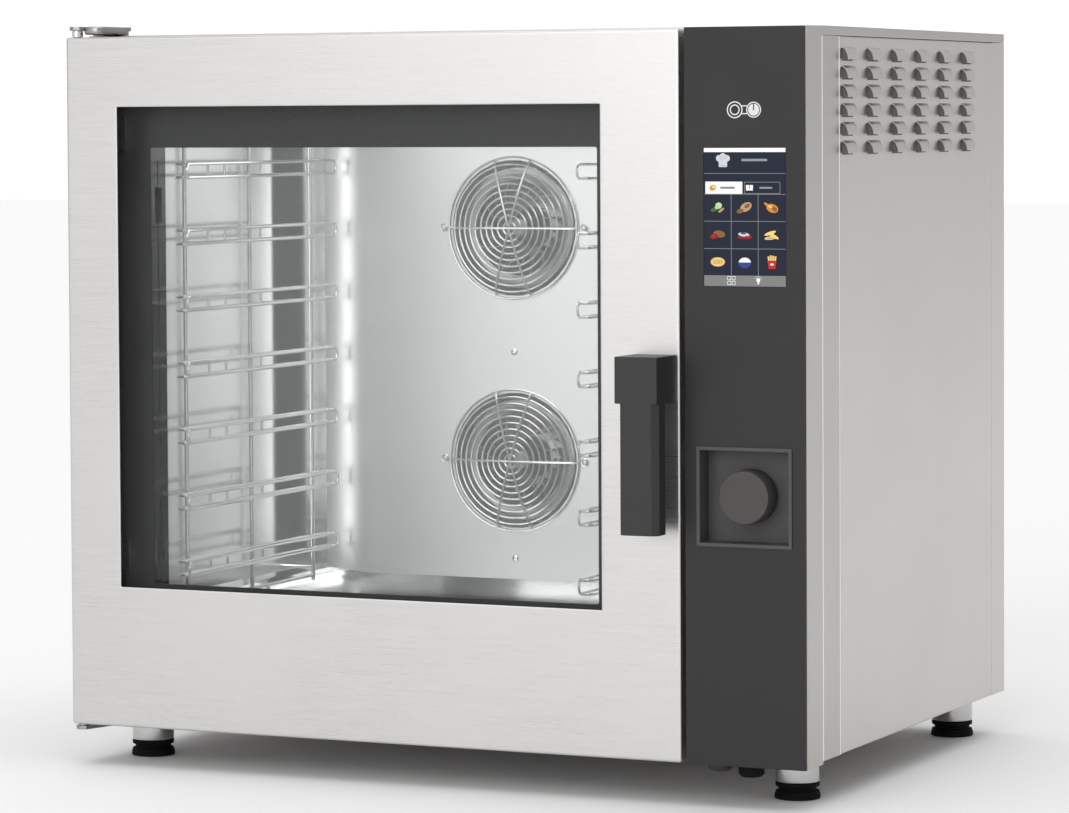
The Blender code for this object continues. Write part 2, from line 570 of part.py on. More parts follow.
def build_racks():
    """Two wire ladders: stadium-shaped rails on short arms, welded to two posts each."""
    levels = int((CAV_Z[1] - RACK_TOP_DROP - RAIL_SPREAD - 0.040 - CAV_Z[0]) / RACK_PITCH) + 1
    radius = RAIL_SPREAD / 2
    foot, head = CAV_Z[0] + 0.012, CAV_Z[1] - 0.012
    posts_y = (RACK_Y[0] + POST_IN, sum(RACK_Y) / 2, RACK_Y[1] - POST_IN)
    for name, wall, inward in (("rack_left", CAV_X[0], 1), ("rack_right", CAV_X[1], -1)):
        rail_x = wall + inward * RACK_IN
        post_x = rail_x - inward * RACK_ARM
        ladder = solid(name, turned("Z", (post_x, posts_y[0]), [(foot, POST_WIRE), (head, POST_WIRE)], 6),
                       "steel_wire", (post_x, posts_y[0], foot), smooth=True)
        ties_z = (foot + 0.006, head - 0.006)
        join(ladder, "ties", *[bar((post_x, posts_y[0] - 0.002, z), (post_x, posts_y[2] + 0.002, z),
                                   POST_WIRE * 0.8) for z in ties_z])
        hook_x = (post_x - inward * 0.001, wall + inward * GAP)
        join(ladder, "wall_studs", *[turned("X", (y, z), [(x, POST_WIRE * 1.3) for x in hook_x], 6)
                                     for y in posts_y[::2] for z in (ties_z[0] + 0.010, ties_z[1] - 0.010)])
        join(ladder, "posts", *[turned("Z", (post_x, y), [(foot, POST_WIRE), (head, POST_WIRE)], 6)
                                for y in posts_y[1:]])
        rails, arms = [], []
        for level in range(levels):
            upper = CAV_Z[1] - RACK_TOP_DROP - level * RACK_PITCH
            centre_z = upper - radius
            path = []
            for end_y, start in ((RACK_Y[1] - radius, -90), (RACK_Y[0] + radius, 90)):
                for k in range(4):
                    turn = math.radians(start + 60 * k)
                    path.append((rail_x, end_y + radius * math.cos(turn), centre_z + radius * math.sin(turn)))
            rails.append((swept(path, RAIL_WIRE, 4, (1, 0, 0), loop=True), True))
            for y in posts_y:
                for z in (centre_z - radius, centre_z + radius):
                    arms.append(bar((post_x, y, z), (rail_x, y, z), RAIL_WIRE * 0.8))
        tool(ladder, "UNION", rails, "rails")
        join(ladder, "arms", *arms)


def build_services():
    ceiling = CAV_Z[1] + SHEET
    duct = solid("exhaust_duct",
                 turned("Z", DUCT_AT, [(CAV_Z[1] - 0.002, DUCT_R), (BODY_TOP + 0.004, DUCT_R),
                                       (BODY_TOP + 0.004, DUCT_R - SHEET), (CAV_Z[1] - 0.002, DUCT_R - SHEET)]),
                 "bright_steel", (*DUCT_AT, ceiling), ring=True, smooth=True)
    flap_z = (CAV_Z[1] + BODY_TOP) / 2
    axle = 0.003
    cut(duct, "axle_holes",
        *[turned("X", (DUCT_AT[1], flap_z), [(DUCT_AT[0] + s * (DUCT_R - 0.008), axle + FIT),
                                             (DUCT_AT[0] + s * (DUCT_R + 0.008), axle + FIT)], 8)
          for s in (-1, 1)])
    plate = DUCT_R - SHEET - 2 * FIT
    flap = solid("exhaust_flap", turned("Z", DUCT_AT, [(flap_z - 0.0006, plate), (flap_z + 0.0006, plate)]),
                 "bright_steel", (*DUCT_AT, flap_z), smooth=True)
    join(flap, "axle", turned("X", (DUCT_AT[1], flap_z), [(DUCT_AT[0] - DUCT_R - 0.006, axle),
                                                         (DUCT_AT[0] + DUCT_R + 0.010, axle)], 8))

    solid("cavity_lamp",
          turned("Z", LAMP_AT, [(CAV_Z[1] - 0.004, LAMP_R - 0.004), (CAV_Z[1] - 0.004, LAMP_R),
                                (ceiling + GAP, LAMP_R), (ceiling + GAP, LAMP_R + 0.008),
                                (ceiling + 0.004, LAMP_R + 0.008), (ceiling + 0.012, LAMP_R - 0.004)]),
          "clear_glass", (*LAMP_AT, ceiling), smooth=True)

    solid("drain_screen",
          turned("Z", DRAIN_AT, [(CAV_Z[0] + GAP, DRAIN_R + 0.016), (CAV_Z[0] + 0.0025, DRAIN_R + 0.014),
                                 (CAV_Z[0] + 0.0025, 0.006), (CAV_Z[0] + GAP, 0.006)]),
          "bright_steel", (*DRAIN_AT, CAV_Z[0]), ring=True, smooth=True)

    x, y = DRAIN_AT
    path = [(x, y, CAV_Z[0])]
    for k in range(5):
        turn = math.radians(90 * k / 4)
        path.append((x, y + DRAIN_BEND * (1 - math.cos(turn)),
                     DRAIN_PIPE_Z + DRAIN_BEND * (1 - math.sin(turn))))
    path.append((x, BODY_D + PIPE_OUT, DRAIN_PIPE_Z))
    outer = swept(path, DRAIN_R, 14, (1, 0, 0))
    inner = swept(path, DRAIN_R - 0.002, 14, (1, 0, 0))
    solid("drain_pipe", outer + inner[::-1], "bright_steel", (x, y, DRAIN_PIPE_Z), ring=True, smooth=True)

    vx, vz = INJECTOR_AT
    valve_y = CAV_Y[1] + 0.045
    solid("water_injector",
          turned("Y", INJECTOR_AT, [(HEATER_Y, INJECTOR_R), (valve_y - GAP, INJECTOR_R),
                                    (valve_y - GAP, INJECTOR_R - 0.0012), (HEATER_Y, INJECTOR_R - 0.0012)], 8),
          "bright_steel", (vx, HEATER_Y, vz), ring=True, smooth=True)
    valve = solid("water_valve",
                  turned("Y", INJECTOR_AT, [(valve_y, 0.010), (valve_y + 0.030, 0.010), (valve_y + 0.030, VALVE_R),
                                            (BODY_D + PIPE_OUT, VALVE_R), (BODY_D + PIPE_OUT, VALVE_R - 0.003),
                                            (BODY_D + 0.010, VALVE_R - 0.003)], 12),
                  "white_plastic", (vx, valve_y, vz), smooth=True)
    join(valve, "coil", block((vx - 0.014, vx + 0.014), (valve_y + 0.004, valve_y + 0.032), (vz, vz + 0.040)))

    solid("cable_gland",
          turned("Y", GLAND_AT, [(BODY_D - 0.012, GLAND_R + 0.004), (BODY_D - SHEET - GAP, GLAND_R + 0.004),
                                 (BODY_D - SHEET - GAP, GLAND_R), (BODY_D + GAP, GLAND_R),
                                 (BODY_D + GAP, GLAND_R + 0.004), (BODY_D + 0.010, GLAND_R + 0.004),
                                 (BODY_D + 0.020, GLAND_R - 0.001), (BODY_D + 0.020, GLAND_R - 0.005),
                                 (BODY_D - 0.012, GLAND_R - 0.005)], 12),
          "black_plastic", (GLAND_AT[0], BODY_D, GLAND_AT[1]), ring=True, smooth=True)


# ---- door ----------------------------------------------------------------------------------
WINDOW_X = (WINDOW_MARGIN_X[0], DOOR_W - WINDOW_MARGIN_X[1])
WINDOW_Z = (DOOR_Z[0] + WINDOW_MARGIN_Z[0], DOOR_Z[1] - WINDOW_MARGIN_Z[1])
HINGE_AT = (HINGE_IN, HINGE_IN)
HINGE_FOOT = (*HINGE_AT, 0.0)


def build_door():
    edge = DOOR_T - 0.003
    skin = solid("door_skin", tray("Y", 0.0, SHEET, edge, (0, DOOR_W), DOOR_Z, SHEET),
                 "brushed_steel", HINGE_FOOT)
    cut(skin, "window", block(WINDOW_X, (-0.01, 0.01), WINDOW_Z),
        turned("Y", (LATCH_X, LATCH_Z), [(-0.01, SPINDLE_R + FIT), (0.01, SPINDLE_R + FIT)], 12))
    cut(skin, "pin_holes",
        turned("Z", HINGE_AT, [(DOOR_Z[0] - 0.01, PIN_R + FIT), (DOOR_Z[0] + 0.01, PIN_R + FIT)], 12),
        turned("Z", HINGE_AT, [(DOOR_Z[1] - 0.01, PIN_R + FIT), (DOOR_Z[1] + 0.01, PIN_R + FIT)], 12))

    inner_x = (SHEET + GAP, DOOR_W - SHEET - GAP)
    inner_z = grown(DOOR_Z, -(SHEET + GAP))
    inner = solid("door_inner_frame", tray("Y", DOOR_T, DOOR_T - SHEET, DOOR_T - 0.022,
                                           inner_x, inner_z, SHEET),
                  "brushed_steel", HINGE_FOOT)
    sight_x = (INNER_SIGHT_SIDE, DOOR_W - INNER_SIGHT_SIDE - 0.035)
    sight_z = (WINDOW_Z[0] - INNER_SIGHT_END, WINDOW_Z[1] + INNER_SIGHT_END)
    cut(inner, "sight", [rect("Y", y, sight_x, sight_z, 0.006) for y in (DOOR_T - 0.01, DOOR_T + 0.01)],
        turned("Y", (LATCH_X, LATCH_Z), [(DOOR_T - 0.01, SPINDLE_R + FIT), (DOOR_T + 0.01, SPINDLE_R + FIT)], 12))

    glass_x, glass_z = grown(WINDOW_X, GLASS_LAP), grown(WINDOW_Z, GLASS_LAP)
    front = SHEET + GAP
    solid("door_outer_glass", [rect("Y", y, glass_x, glass_z, 0.006) for y in (front, front + GLASS_T)],
          "clear_glass", HINGE_FOOT)
    back = DOOR_T - SHEET - GAP
    solid("door_inner_glass",
          [rect("Y", y, grown(sight_x, 0.008), grown(sight_z, 0.008), 0.006) for y in (back - GLASS_T, back)],
          "clear_glass", HINGE_FOOT)
    clip_y = (back - GLASS_T - GAP - 0.008, back - GLASS_T - GAP)
    clip_x = (sight_x[0] - 0.006, sight_x[0] + 0.012)
    for place, z in (("top", sight_z[1] - 0.060), ("bottom", sight_z[0] + 0.060)):
        spot = grown((z, z), 0.020)
        solid(f"glass_clip_{place}", block(clip_x, clip_y, spot), "bright_steel", middle(clip_x, clip_y, spot))

    seat = (DOOR_T + GAP, BODY_Y - GAP)
    lap = 0.007
    solid("door_gasket",
          [rect("Y", seat[0], grown(CAV_X, lap), grown(CAV_Z, lap), CORNER_R),
           rect("Y", seat[1], grown(CAV_X, lap + 0.003), grown(CAV_Z, lap + 0.003), CORNER_R + 0.003),
           rect("Y", seat[1], grown(CAV_X, lap - 0.005), grown(CAV_Z, lap - 0.005), CORNER_R - 0.005),
           rect("Y", seat[0], grown(CAV_X, lap - 0.002), grown(CAV_Z, lap - 0.002), CORNER_R - 0.002)],
          "silicone", (CAV_MID_X, seat[1], sum(CAV_Z) / 2), ring=True)


def build_hinges():
    places = {"top": (BODY_TOP, DOOR_Z[1], 1), "bottom": (BODY_BOTTOM, DOOR_Z[0], -1)}
    for place, (cabinet, door, up) in places.items():
        under = cabinet + up * STRAP_RISE
        over = under + up * STRAP_T
        x = (0.0005, STRAP_W)
        nose = [(HINGE_IN + 0.0095 * math.cos(t), HINGE_IN + 0.0095 * math.sin(t))
                for t in (math.radians(a) for a in (180, 225, 270, 315))]
        plan = nose + [(x[1] - 0.012, BODY_Y + 0.002), (x[1], BODY_Y + 0.012), (x[1], BODY_Y + STRAP_BACK),
                       (x[0], BODY_Y + STRAP_BACK)]
        strap = solid(f"hinge_bracket_{place}", [[(px, py, z) for px, py in plan] for z in (under, over)],
                      "bright_steel", (*HINGE_AT, under))
        base = cabinet + up * GAP
        join(strap, "foot", block(grown(x, -0.002), (BODY_Y + 0.006, BODY_Y + STRAP_BACK - 0.002),
                                  (base, under + up * 0.001)))
        cut(strap, "pin_hole", turned("Z", HINGE_AT, [(cabinet, PIN_R + FIT), (over + up * 0.01, PIN_R + FIT)], 12))
        tip = door - up * 0.016
        solid(f"hinge_pin_{place}",
              turned("Z", HINGE_AT, [(tip, PIN_R), (door + up * FIT, PIN_R), (door + up * FIT, 0.0065),
                                     (under - up * GAP, 0.0065), (under - up * GAP, PIN_R),
                                     (over + up * GAP, PIN_R)], 12),
              "bright_steel", (*HINGE_AT, tip), smooth=True)


def build_handle():
    """The lever: a head block on the door and the grip hanging down from its front."""
    pivot = (LATCH_X, 0.0, LATCH_Z)
    head = HEAD_Z
    handle = solid("door_handle",
                   block(HANDLE_X, (-HANDLE_OUT, -GAP), head), "black_plastic", pivot)
    grip_x = (HANDLE_X[0] + GRIP_STEP, HANDLE_X[1])
    corner = 0.007
    rows = []
    for z in (HANDLE_BOTTOM, head[0] + 0.002):
        rows.append([(grip_x[0], -HANDLE_OUT, z), (grip_x[1] - corner, -HANDLE_OUT, z),
                     (grip_x[1], -HANDLE_OUT + corner, z), (grip_x[1], -HANDLE_OUT + GRIP_T, z),
                     (grip_x[0], -HANDLE_OUT + GRIP_T, z)])
    join(handle, "grip", rows)
    cut(handle, "spindle_hole", turned("Y", (LATCH_X, LATCH_Z), [(-0.030, SPINDLE_R + GAP), (0.01, SPINDLE_R + GAP)],
                                       12))
    cam_y = (DOOR_T + 0.0010, DOOR_T + LATCH_DEPTH)
    cam = solid("latch_cam",
                turned("Y", (LATCH_X, LATCH_Z), [(-0.029, SPINDLE_R), (cam_y[1], SPINDLE_R)], 12),
                "bright_steel", pivot, smooth=True)
    join(cam, "finger", block(grown((LATCH_X, LATCH_X), 0.004), (cam_y[0] + 0.004, cam_y[1] + 0.001),
                              (LATCH_Z, LATCH_Z + CAM_LENGTH)))
    keep_y = (BODY_Y + SHEET + GAP, BODY_Y + SHEET + 0.022)
    keep_x = grown(LATCH_HOLE_X, 0.008)
    keep_z = grown(LATCH_HOLE_Z, 0.008)
    solid("latch_keeper",
          cup("Y", keep_y[1], keep_y[1] - 0.002, keep_y[0],
              lambda a, level: rect(a, level, keep_x, keep_z),
              lambda a, level: rect(a, level, LATCH_HOLE_X, LATCH_HOLE_Z)),
          "bright_steel", (LATCH_X, keep_y[0], LATCH_Z))


# ---- control column ------------------------------------------------------------------------
def build_controls():
    column_x = (PANEL_X[0] + 0.0007, PANEL_X[1])
    housing_y = (FASCIA_T + GAP, BODY_Y - GAP)
    housing = solid("control_housing", tray("Y", housing_y[1], housing_y[1] - SHEET, housing_y[0],
                                            column_x, FASCIA_Z, SHEET),
                    "brushed_steel", (sum(column_x) / 2, housing_y[1], sum(FASCIA_Z) / 2))
    cut(housing, "wire_way", block((PANEL_X[0] + 0.030, BODY_W - 0.030), (BODY_Y - 0.01, BODY_Y + 0.01), (0.42, 0.70)))
    socket_at = (PANEL_X[0] + 0.030, BODY_Y / 2)
    usb_at = (PANEL_X[0] + 0.0665, BODY_Y / 2)
    stem = 0.010
    cut(housing, "socket_holes",
        *[turned("Z", spot, [(FASCIA_Z[0] - 0.01, stem + FIT), (FASCIA_Z[0] + 0.01, stem + FIT)], 12)
          for spot in (socket_at, usb_at)])

    face_x = (PANEL_X[0], PANEL_X[1] - 0.0007)
    display_x = (PANEL_X[0] + DISPLAY_LEFT, PANEL_X[0] + DISPLAY_LEFT + DISPLAY_W)
    display_z = (BODY_TOP - DISPLAY_TOP - DISPLAY_H, BODY_TOP - DISPLAY_TOP)
    cup_at = (PANEL_X[0] + CUP_CENTRE[0], CUP_CENTRE[1])
    cup_x = grown((cup_at[0], cup_at[0]), CUP_W / 2)
    cup_z = grown((cup_at[1], cup_at[1]), CUP_H / 2)
    fascia = solid("control_fascia", [rect("Y", y, face_x, FASCIA_Z) for y in (0.0, FASCIA_T)],
                   "black_panel", (sum(face_x) / 2, 0.0, sum(FASCIA_Z) / 2))
    cut(fascia, "cutouts",
        block(grown(display_x, GAP), (-0.01, 0.01), grown(display_z, GAP)),
        block(grown(cup_x, CUP_WALL + GAP), (-0.01, 0.01), grown(cup_z, CUP_WALL + GAP)))

    shoulder = FASCIA_T + GAP
    solid("display_module",
          [rect("Y", 0.0006, display_x, display_z), rect("Y", shoulder, display_x, display_z),
           rect("Y", shoulder, grown(display_x, 0.006), grown(display_z, 0.006)),
           rect("Y", 0.014, grown(display_x, 0.006), grown(display_z, 0.006))],
          "display_glass", (sum(display_x) / 2, 0.0, sum(display_z) / 2))
    board_z = (display_z[0] - 0.020, display_z[1] + 0.050)
    board_x = grown(face_x, -0.018)
    board = solid("control_board", block(board_x, (0.022, 0.026), board_z),
                  "circuit_board", (sum(face_x) / 2, 0.024, sum(board_z) / 2))
    join(board, "standoffs", *[turned("Y", (x, z), [(0.025, 0.004), (housing_y[1] - SHEET - GAP, 0.004)], 8)
                               for x in grown(board_x, -0.008) for z in grown(board_z, -0.008)])

    floor = CUP_DEPTH
    walls = grown(cup_x, CUP_WALL), grown(cup_z, CUP_WALL)
    rims = grown(cup_x, CUP_RIM), grown(cup_z, CUP_RIM)
    dish = solid("knob_cup",
                 [rect("Y", floor + CUP_WALL, *walls), rect("Y", -GAP, *walls), rect("Y", -GAP, *rims),
                  rect("Y", -GAP - 0.0015, *rims), rect("Y", -GAP - 0.0015, cup_x, cup_z),
                  rect("Y", floor, cup_x, cup_z)],
                 "black_plastic", (*cup_at[:1], 0.0, cup_at[1]))
    cut(dish, "shaft_hole", turned("Y", cup_at, [(floor - 0.01, KNOB_SHAFT_R + 2 * FIT),
                                                 (floor + 0.01, KNOB_SHAFT_R + 2 * FIT)], 12))
    knob_y = (-KNOB_PROUD, -KNOB_PROUD + KNOB_T)
    encoder_y = (floor + CUP_WALL + GAP, housing_y[1] - SHEET - GAP)
    shaft_end = encoder_y[1] - 0.004 - PRESS
    solid("knob", turned("Y", cup_at, [(knob_y[0], KNOB_R - 0.0015), (knob_y[0] + 0.0015, KNOB_R),
                                       (knob_y[1], KNOB_R), (knob_y[1], KNOB_SHAFT_R),
                                       (shaft_end, KNOB_SHAFT_R)], 32),
          "knob_grey", (cup_at[0], 0.0, cup_at[1]), smooth=True)
    bore = KNOB_SHAFT_R + FIT
    plunger_y = (encoder_y[0] + 0.004, encoder_y[1] - 0.003 - PRESS)
    solid("encoder_plunger",
          turned("Y", cup_at, [(plunger_y[0], PLUNGER_R), (plunger_y[1], PLUNGER_R),
                               (plunger_y[1], bore), (plunger_y[0], bore)], 12),
          "white_plastic", (cup_at[0], plunger_y[0], cup_at[1]), ring=True, smooth=True)
    box_x = grown((cup_at[0], cup_at[0]), 0.014)
    box_z = grown((cup_at[1], cup_at[1]), 0.014)
    encoder = solid("encoder_body", block(box_x, encoder_y, box_z), "black_plastic",
                    (cup_at[0], encoder_y[0], cup_at[1]))
    cut(encoder, "bore", turned("Y", cup_at, [(encoder_y[0] - 0.01, PLUNGER_R + FIT),
                                              (encoder_y[1] - 0.002, PLUNGER_R + FIT)], 12))

    under = FASCIA_Z[0] - GAP
    for name, spot, drop in (("probe_socket", socket_at, 0.0085), ("usb_cap", usb_at, 0.0135)):
        low = FASCIA_Z[0] - drop
        solid(name, turned("Z", spot, [(low, 0.0110), (low + 0.0035, 0.0145), (under, 0.0145),
                                       (under, stem), (under + 0.008, stem)], 16),
              "black_plastic", (*spot, under), smooth=True)

    power_x = (BODY_W - SHEET - GAP - 0.045, BODY_W - SHEET - GAP)
    power_y, power_z = (SIDE_Y[0] + 0.080, SIDE_Y[0] + 0.300), (0.250, 0.550)
    solid("power_board", block(power_x, power_y, power_z), "circuit_board", middle(power_x, power_y, power_z))


def main():
    for old in list(bpy.data.objects):
        bpy.data.objects.remove(old, do_unlink=True)
    build_cabinet()
    build_feet()
    build_chamber()
    build_fans()
    build_racks()
    build_services()
    build_door()
    build_hinges()
    build_handle()
    build_controls()


main()
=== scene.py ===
"""Looks of a combi steamer oven: brushed steel cabinet and door, glazing with a black border,
black control column with a lit screen, wire racks, fan guards and fan wheels inside.

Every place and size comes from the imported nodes' boxes plus the named details below. Metres,
+Z up, the front faces -Y.
"""
import math

import bmesh
import bpy
import numpy as np
from mathutils import Matrix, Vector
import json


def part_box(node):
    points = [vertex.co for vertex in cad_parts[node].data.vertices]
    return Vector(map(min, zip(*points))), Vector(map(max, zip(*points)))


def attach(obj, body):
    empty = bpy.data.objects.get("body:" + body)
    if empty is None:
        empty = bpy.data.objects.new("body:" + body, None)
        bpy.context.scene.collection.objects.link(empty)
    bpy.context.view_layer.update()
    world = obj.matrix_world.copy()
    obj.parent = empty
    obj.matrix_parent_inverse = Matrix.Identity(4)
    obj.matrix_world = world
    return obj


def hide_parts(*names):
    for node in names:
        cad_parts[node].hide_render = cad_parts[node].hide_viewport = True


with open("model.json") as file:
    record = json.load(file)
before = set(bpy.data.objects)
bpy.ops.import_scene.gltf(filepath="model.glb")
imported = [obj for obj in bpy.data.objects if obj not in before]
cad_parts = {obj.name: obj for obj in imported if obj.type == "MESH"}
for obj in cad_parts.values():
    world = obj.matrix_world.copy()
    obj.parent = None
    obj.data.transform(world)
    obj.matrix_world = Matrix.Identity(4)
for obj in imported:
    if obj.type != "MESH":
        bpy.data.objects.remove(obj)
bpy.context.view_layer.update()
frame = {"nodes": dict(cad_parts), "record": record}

X, Y, Z = 0, 1, 2
TURN = 2 * math.pi


# ---- shapes ----
def span(node, axis):
    """A node's lowest and highest coordinate along an axis."""
    low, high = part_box(node)
    return np.array([low[axis], high[axis]])


def grown(pair, amount):
    """A range made longer at both ends."""
    return np.array([pair[0] - amount, pair[1] + amount])


def placed(axis, level, u, v):
    """Points on planes across an axis: the level goes on that axis, u and v on the two others."""
    level, u, v = np.broadcast_arrays(level, u, v)
    return np.stack({X: (level, u, v), Y: (u, level, v), Z: (u, v, level)}[axis], axis=-1)


def round_rect(u, v, radius, steps=6):
    """A rectangle's outline with quarter circles of a radius at its corners: each corner's
    centre plus the radius times (cos t, sin t), t running on by a quarter turn a corner."""
    t = (np.arange(4)[:, None] + np.linspace(0, 1, steps + 1)[None, :]) * math.pi / 2
    cu = np.array([u[1] - radius, u[0] + radius, u[0] + radius, u[1] - radius])[:, None]
    cv = np.array([v[1] - radius, v[1] - radius, v[0] + radius, v[0] + radius])[:, None]
    return (cu + radius * np.cos(t)).ravel(), (cv + radius * np.sin(t)).ravel()


def rect_rings(axis, u, v, profile, corner, steps=6):
    """Rounded rectangles along an axis. Each profile entry is (level, inset): the rectangle is
    drawn in by the inset all round, and its corner radius shrinks with it."""
    rings = []
    for level, inset in profile:
        ru, rv = round_rect(grown(u, -inset), grown(v, -inset), max(corner - inset, 0.0002), steps)
        rings.append(placed(axis, level, ru, rv))
    return np.array(rings)


def quarter(level, inset, radius, way, steps=4, outward=True):
    """A rounded edge as (level, inset) pairs: a quarter circle from the face at that level to the
    side wall, the level moving by way."""
    t = np.linspace(0, math.pi / 2, steps + 1)
    pairs = [(level + way * radius * (1 - math.cos(a)), inset + radius * (1 - math.sin(a))) for a in t]
    return pairs if outward else pairs[::-1]


def pillow(axis, u, v, w, corner, edge, steps=6, bend=4):
    """A block whose outline has round corners and whose two faces meet the sides in quarter
    circles. A narrow flat rim inside each face keeps the faces flat."""
    profile = ([(w[0], edge * 1.6)] + quarter(w[0], 0, edge, 1, bend)
               + quarter(w[1], 0, edge, -1, bend, False) + [(w[1], edge * 1.6)])
    return lofted(rect_rings(axis, u, v, profile, corner, steps))


def circle_rings(axis, centre, profile, sides=64):
    """Circles along an axis from (level, radius) pairs: centre + radius (cos t, sin t)."""
    t = np.arange(sides) * TURN / sides
    return np.array([placed(axis, level, centre[0] + max(radius, 1e-5) * np.cos(t),
                            centre[1] + max(radius, 1e-5) * np.sin(t)) for level, radius in profile])


def lofted(rings, ring=False):
    """A skin over outlines of equal length: quads between neighbours, and a flat polygon over
    each end, unless the last outline joins the first again."""
    rings = np.asarray(rings, float)
    rows, count = rings.shape[:2]
    index = np.arange(rows * count).reshape(rows, count)
    low = index if ring else index[:-1]
    high = np.roll(index, -1, axis=0) if ring else index[1:]
    quads = np.stack([low, np.roll(low, -1, axis=1), np.roll(high, -1, axis=1), high], axis=-1)
    faces = quads.reshape(-1, 4).tolist()
    if not ring:
        faces += [index[0][::-1].tolist(), index[-1].tolist()]
    return rings.reshape(-1, 3), faces


def tube(path, radius, normal, sides=8, loop=False):
    """A round wire along a path: at each point a circle in the plane across the path, from the
    path's side vector (tangent x normal) and a vector square to both."""
    path = np.asarray(path, float)
    if loop:
        along = np.roll(path, -1, axis=0) - np.roll(path, 1, axis=0)
    else:
        along = np.gradient(path, axis=0)
    along /= np.linalg.norm(along, axis=1, keepdims=True)
    side = np.cross(along, normal)
    side /= np.linalg.norm(side, axis=1, keepdims=True)
    up = np.cross(side, along)
    t = np.arange(sides) * TURN / sides
    rings = (path[:, None] + radius * (np.cos(t)[None, :, None] * side[:, None]
                                       + np.sin(t)[None, :, None] * up[:, None]))
    return lofted(rings, ring=loop)


def eased(points, reach, steps=4):
    """A path with its corners rounded: near a corner it follows the quadratic curve that starts a
    reach before the corner, ends a reach after it and has the corner as its control point."""
    points = np.asarray(points, float)
    t = np.linspace(0, 1, steps + 1)[:, None]
    out = [points[:1]]
    for before, corner, after in zip(points[:-2], points[1:-1], points[2:]):
        back, on = before - corner, after - corner
        start = corner + back * min(reach / np.linalg.norm(back), 0.45)
        end = corner + on * min(reach / np.linalg.norm(on), 0.45)
        out.append((1 - t) ** 2 * start + 2 * t * (1 - t) * corner + t * t * end)
    out.append(points[-1:])
    return np.concatenate(out)


def joined(parts):
    """Several (points, faces) as one."""
    points, faces, start = [], [], 0
    for p, f in parts:
        points.append(p)
        faces += [[i + start for i in face] for face in f]
        start += len(p)
    return np.concatenate(points), faces


SHARP_ANGLE = math.radians(38)      # between two faces; above it the edge between them shows
BEVEL_ANGLE = math.radians(40)
FLAT_ANGLE = math.radians(0.5)      # neighbours flatter than this become one face
WELD = 1e-6


def added(name, data):
    """A new object in the scene."""
    made = bpy.data.objects.new(name, data)
    bpy.context.collection.objects.link(made)
    return made


def piece(name, shape, paint, body="cabinet", replaces=()):
    """A named mesh that rides on a body, smooth but for sharp edges."""
    points, faces = shape
    mesh = bpy.data.meshes.new(name)
    mesh.from_pydata(points.tolist(), [], faces)
    made = added(name, mesh)
    tidy_normals(mesh)
    mesh.materials.append(paints[paint])
    mesh.shade_smooth()
    mesh.set_sharp_from_angle(angle=SHARP_ANGLE)
    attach(made, body)
    if replaces:
        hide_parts(*replaces)


def tidy_normals(mesh):
    """Faces of each closed part turned outwards."""
    bm = bmesh.new()
    bm.from_mesh(mesh)
    bmesh.ops.recalc_face_normals(bm, faces=bm.faces)
    bm.to_mesh(mesh)
    bm.free()


def softened(node, paint, edge, body="cabinet", segments=2):
    """A node's own shape with its edges rounded: its corners merged where they coincide, flat
    neighbours joined, a bevel on every sharp edge, and the shading of wide faces kept flat."""
    bm = bmesh.new()
    bm.from_mesh(frame["nodes"][node].data)
    bmesh.ops.remove_doubles(bm, verts=bm.verts, dist=WELD)
    bmesh.ops.dissolve_limit(bm, angle_limit=FLAT_ANGLE, verts=bm.verts, edges=bm.edges)
    mesh = bpy.data.meshes.new(f"{node}_skin")
    bm.to_mesh(mesh)
    bm.free()
    made = added(f"{node}_skin", mesh)
    mesh.materials.append(paints[paint])
    bevel = made.modifiers.new("edges", "BEVEL")
    bevel.width, bevel.segments = edge, segments
    bevel.limit_method, bevel.angle_limit = "ANGLE", BEVEL_ANGLE
    mesh.shade_smooth()
    flat = made.modifiers.new("flat_faces", "WEIGHTED_NORMAL")
    flat.mode, flat.weight, flat.keep_sharp = "FACE_AREA", 100, True
    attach(made, body)
    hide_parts(node)


# ---- finishes ----
def new_paint(name, colour, roughness, metallic=0.0, **sockets):
    """A Principled finish with constant values on its own sockets."""
    paint = bpy.data.materials.new(name)
    paint.use_nodes = True
    shader = paint.node_tree.nodes["Principled BSDF"]
    shader.inputs["Base Color"].default_value = (*colour, 1.0)
    shader.inputs["Roughness"].default_value = roughness
    shader.inputs["Metallic"].default_value = metallic
    for socket, value in sockets.items():
        shader.inputs[socket.replace("_", " ")].default_value = value
    paint.diffuse_color = (*colour, 1.0)
    return paint


def noise(paint, scale, stretch=(1, 1, 1), detail=3.0, roughness=0.55):
    """Noise on Object coordinates, stretched by dividing the coordinates along each axis."""
    link = paint.node_tree.links.new
    where = paint.node_tree.nodes.new("ShaderNodeTexCoord")
    place = paint.node_tree.nodes.new("ShaderNodeMapping")
    place.inputs["Scale"].default_value = stretch
    grain = paint.node_tree.nodes.new("ShaderNodeTexNoise")
    grain.inputs["Scale"].default_value = scale
    grain.inputs["Detail"].default_value = detail
    grain.inputs["Roughness"].default_value = roughness
    link(where.outputs["Object"], place.inputs["Vector"])
    link(place.outputs["Vector"], grain.inputs["Vector"])
    return grain.outputs["Fac"]


NOISE_LOW, NOISE_HIGH = 0.3, 0.7        # nearly all of a noise lies between these


def ranged(paint, value, low, high):
    """A noise's usual range spread from low to high."""
    node = paint.node_tree.nodes.new("ShaderNodeMapRange")
    node.inputs["From Min"].default_value = NOISE_LOW
    node.inputs["From Max"].default_value = NOISE_HIGH
    node.inputs["To Min"].default_value, node.inputs["To Max"].default_value = low, high
    paint.node_tree.links.new(value, node.inputs["Value"])
    return node.outputs["Result"]


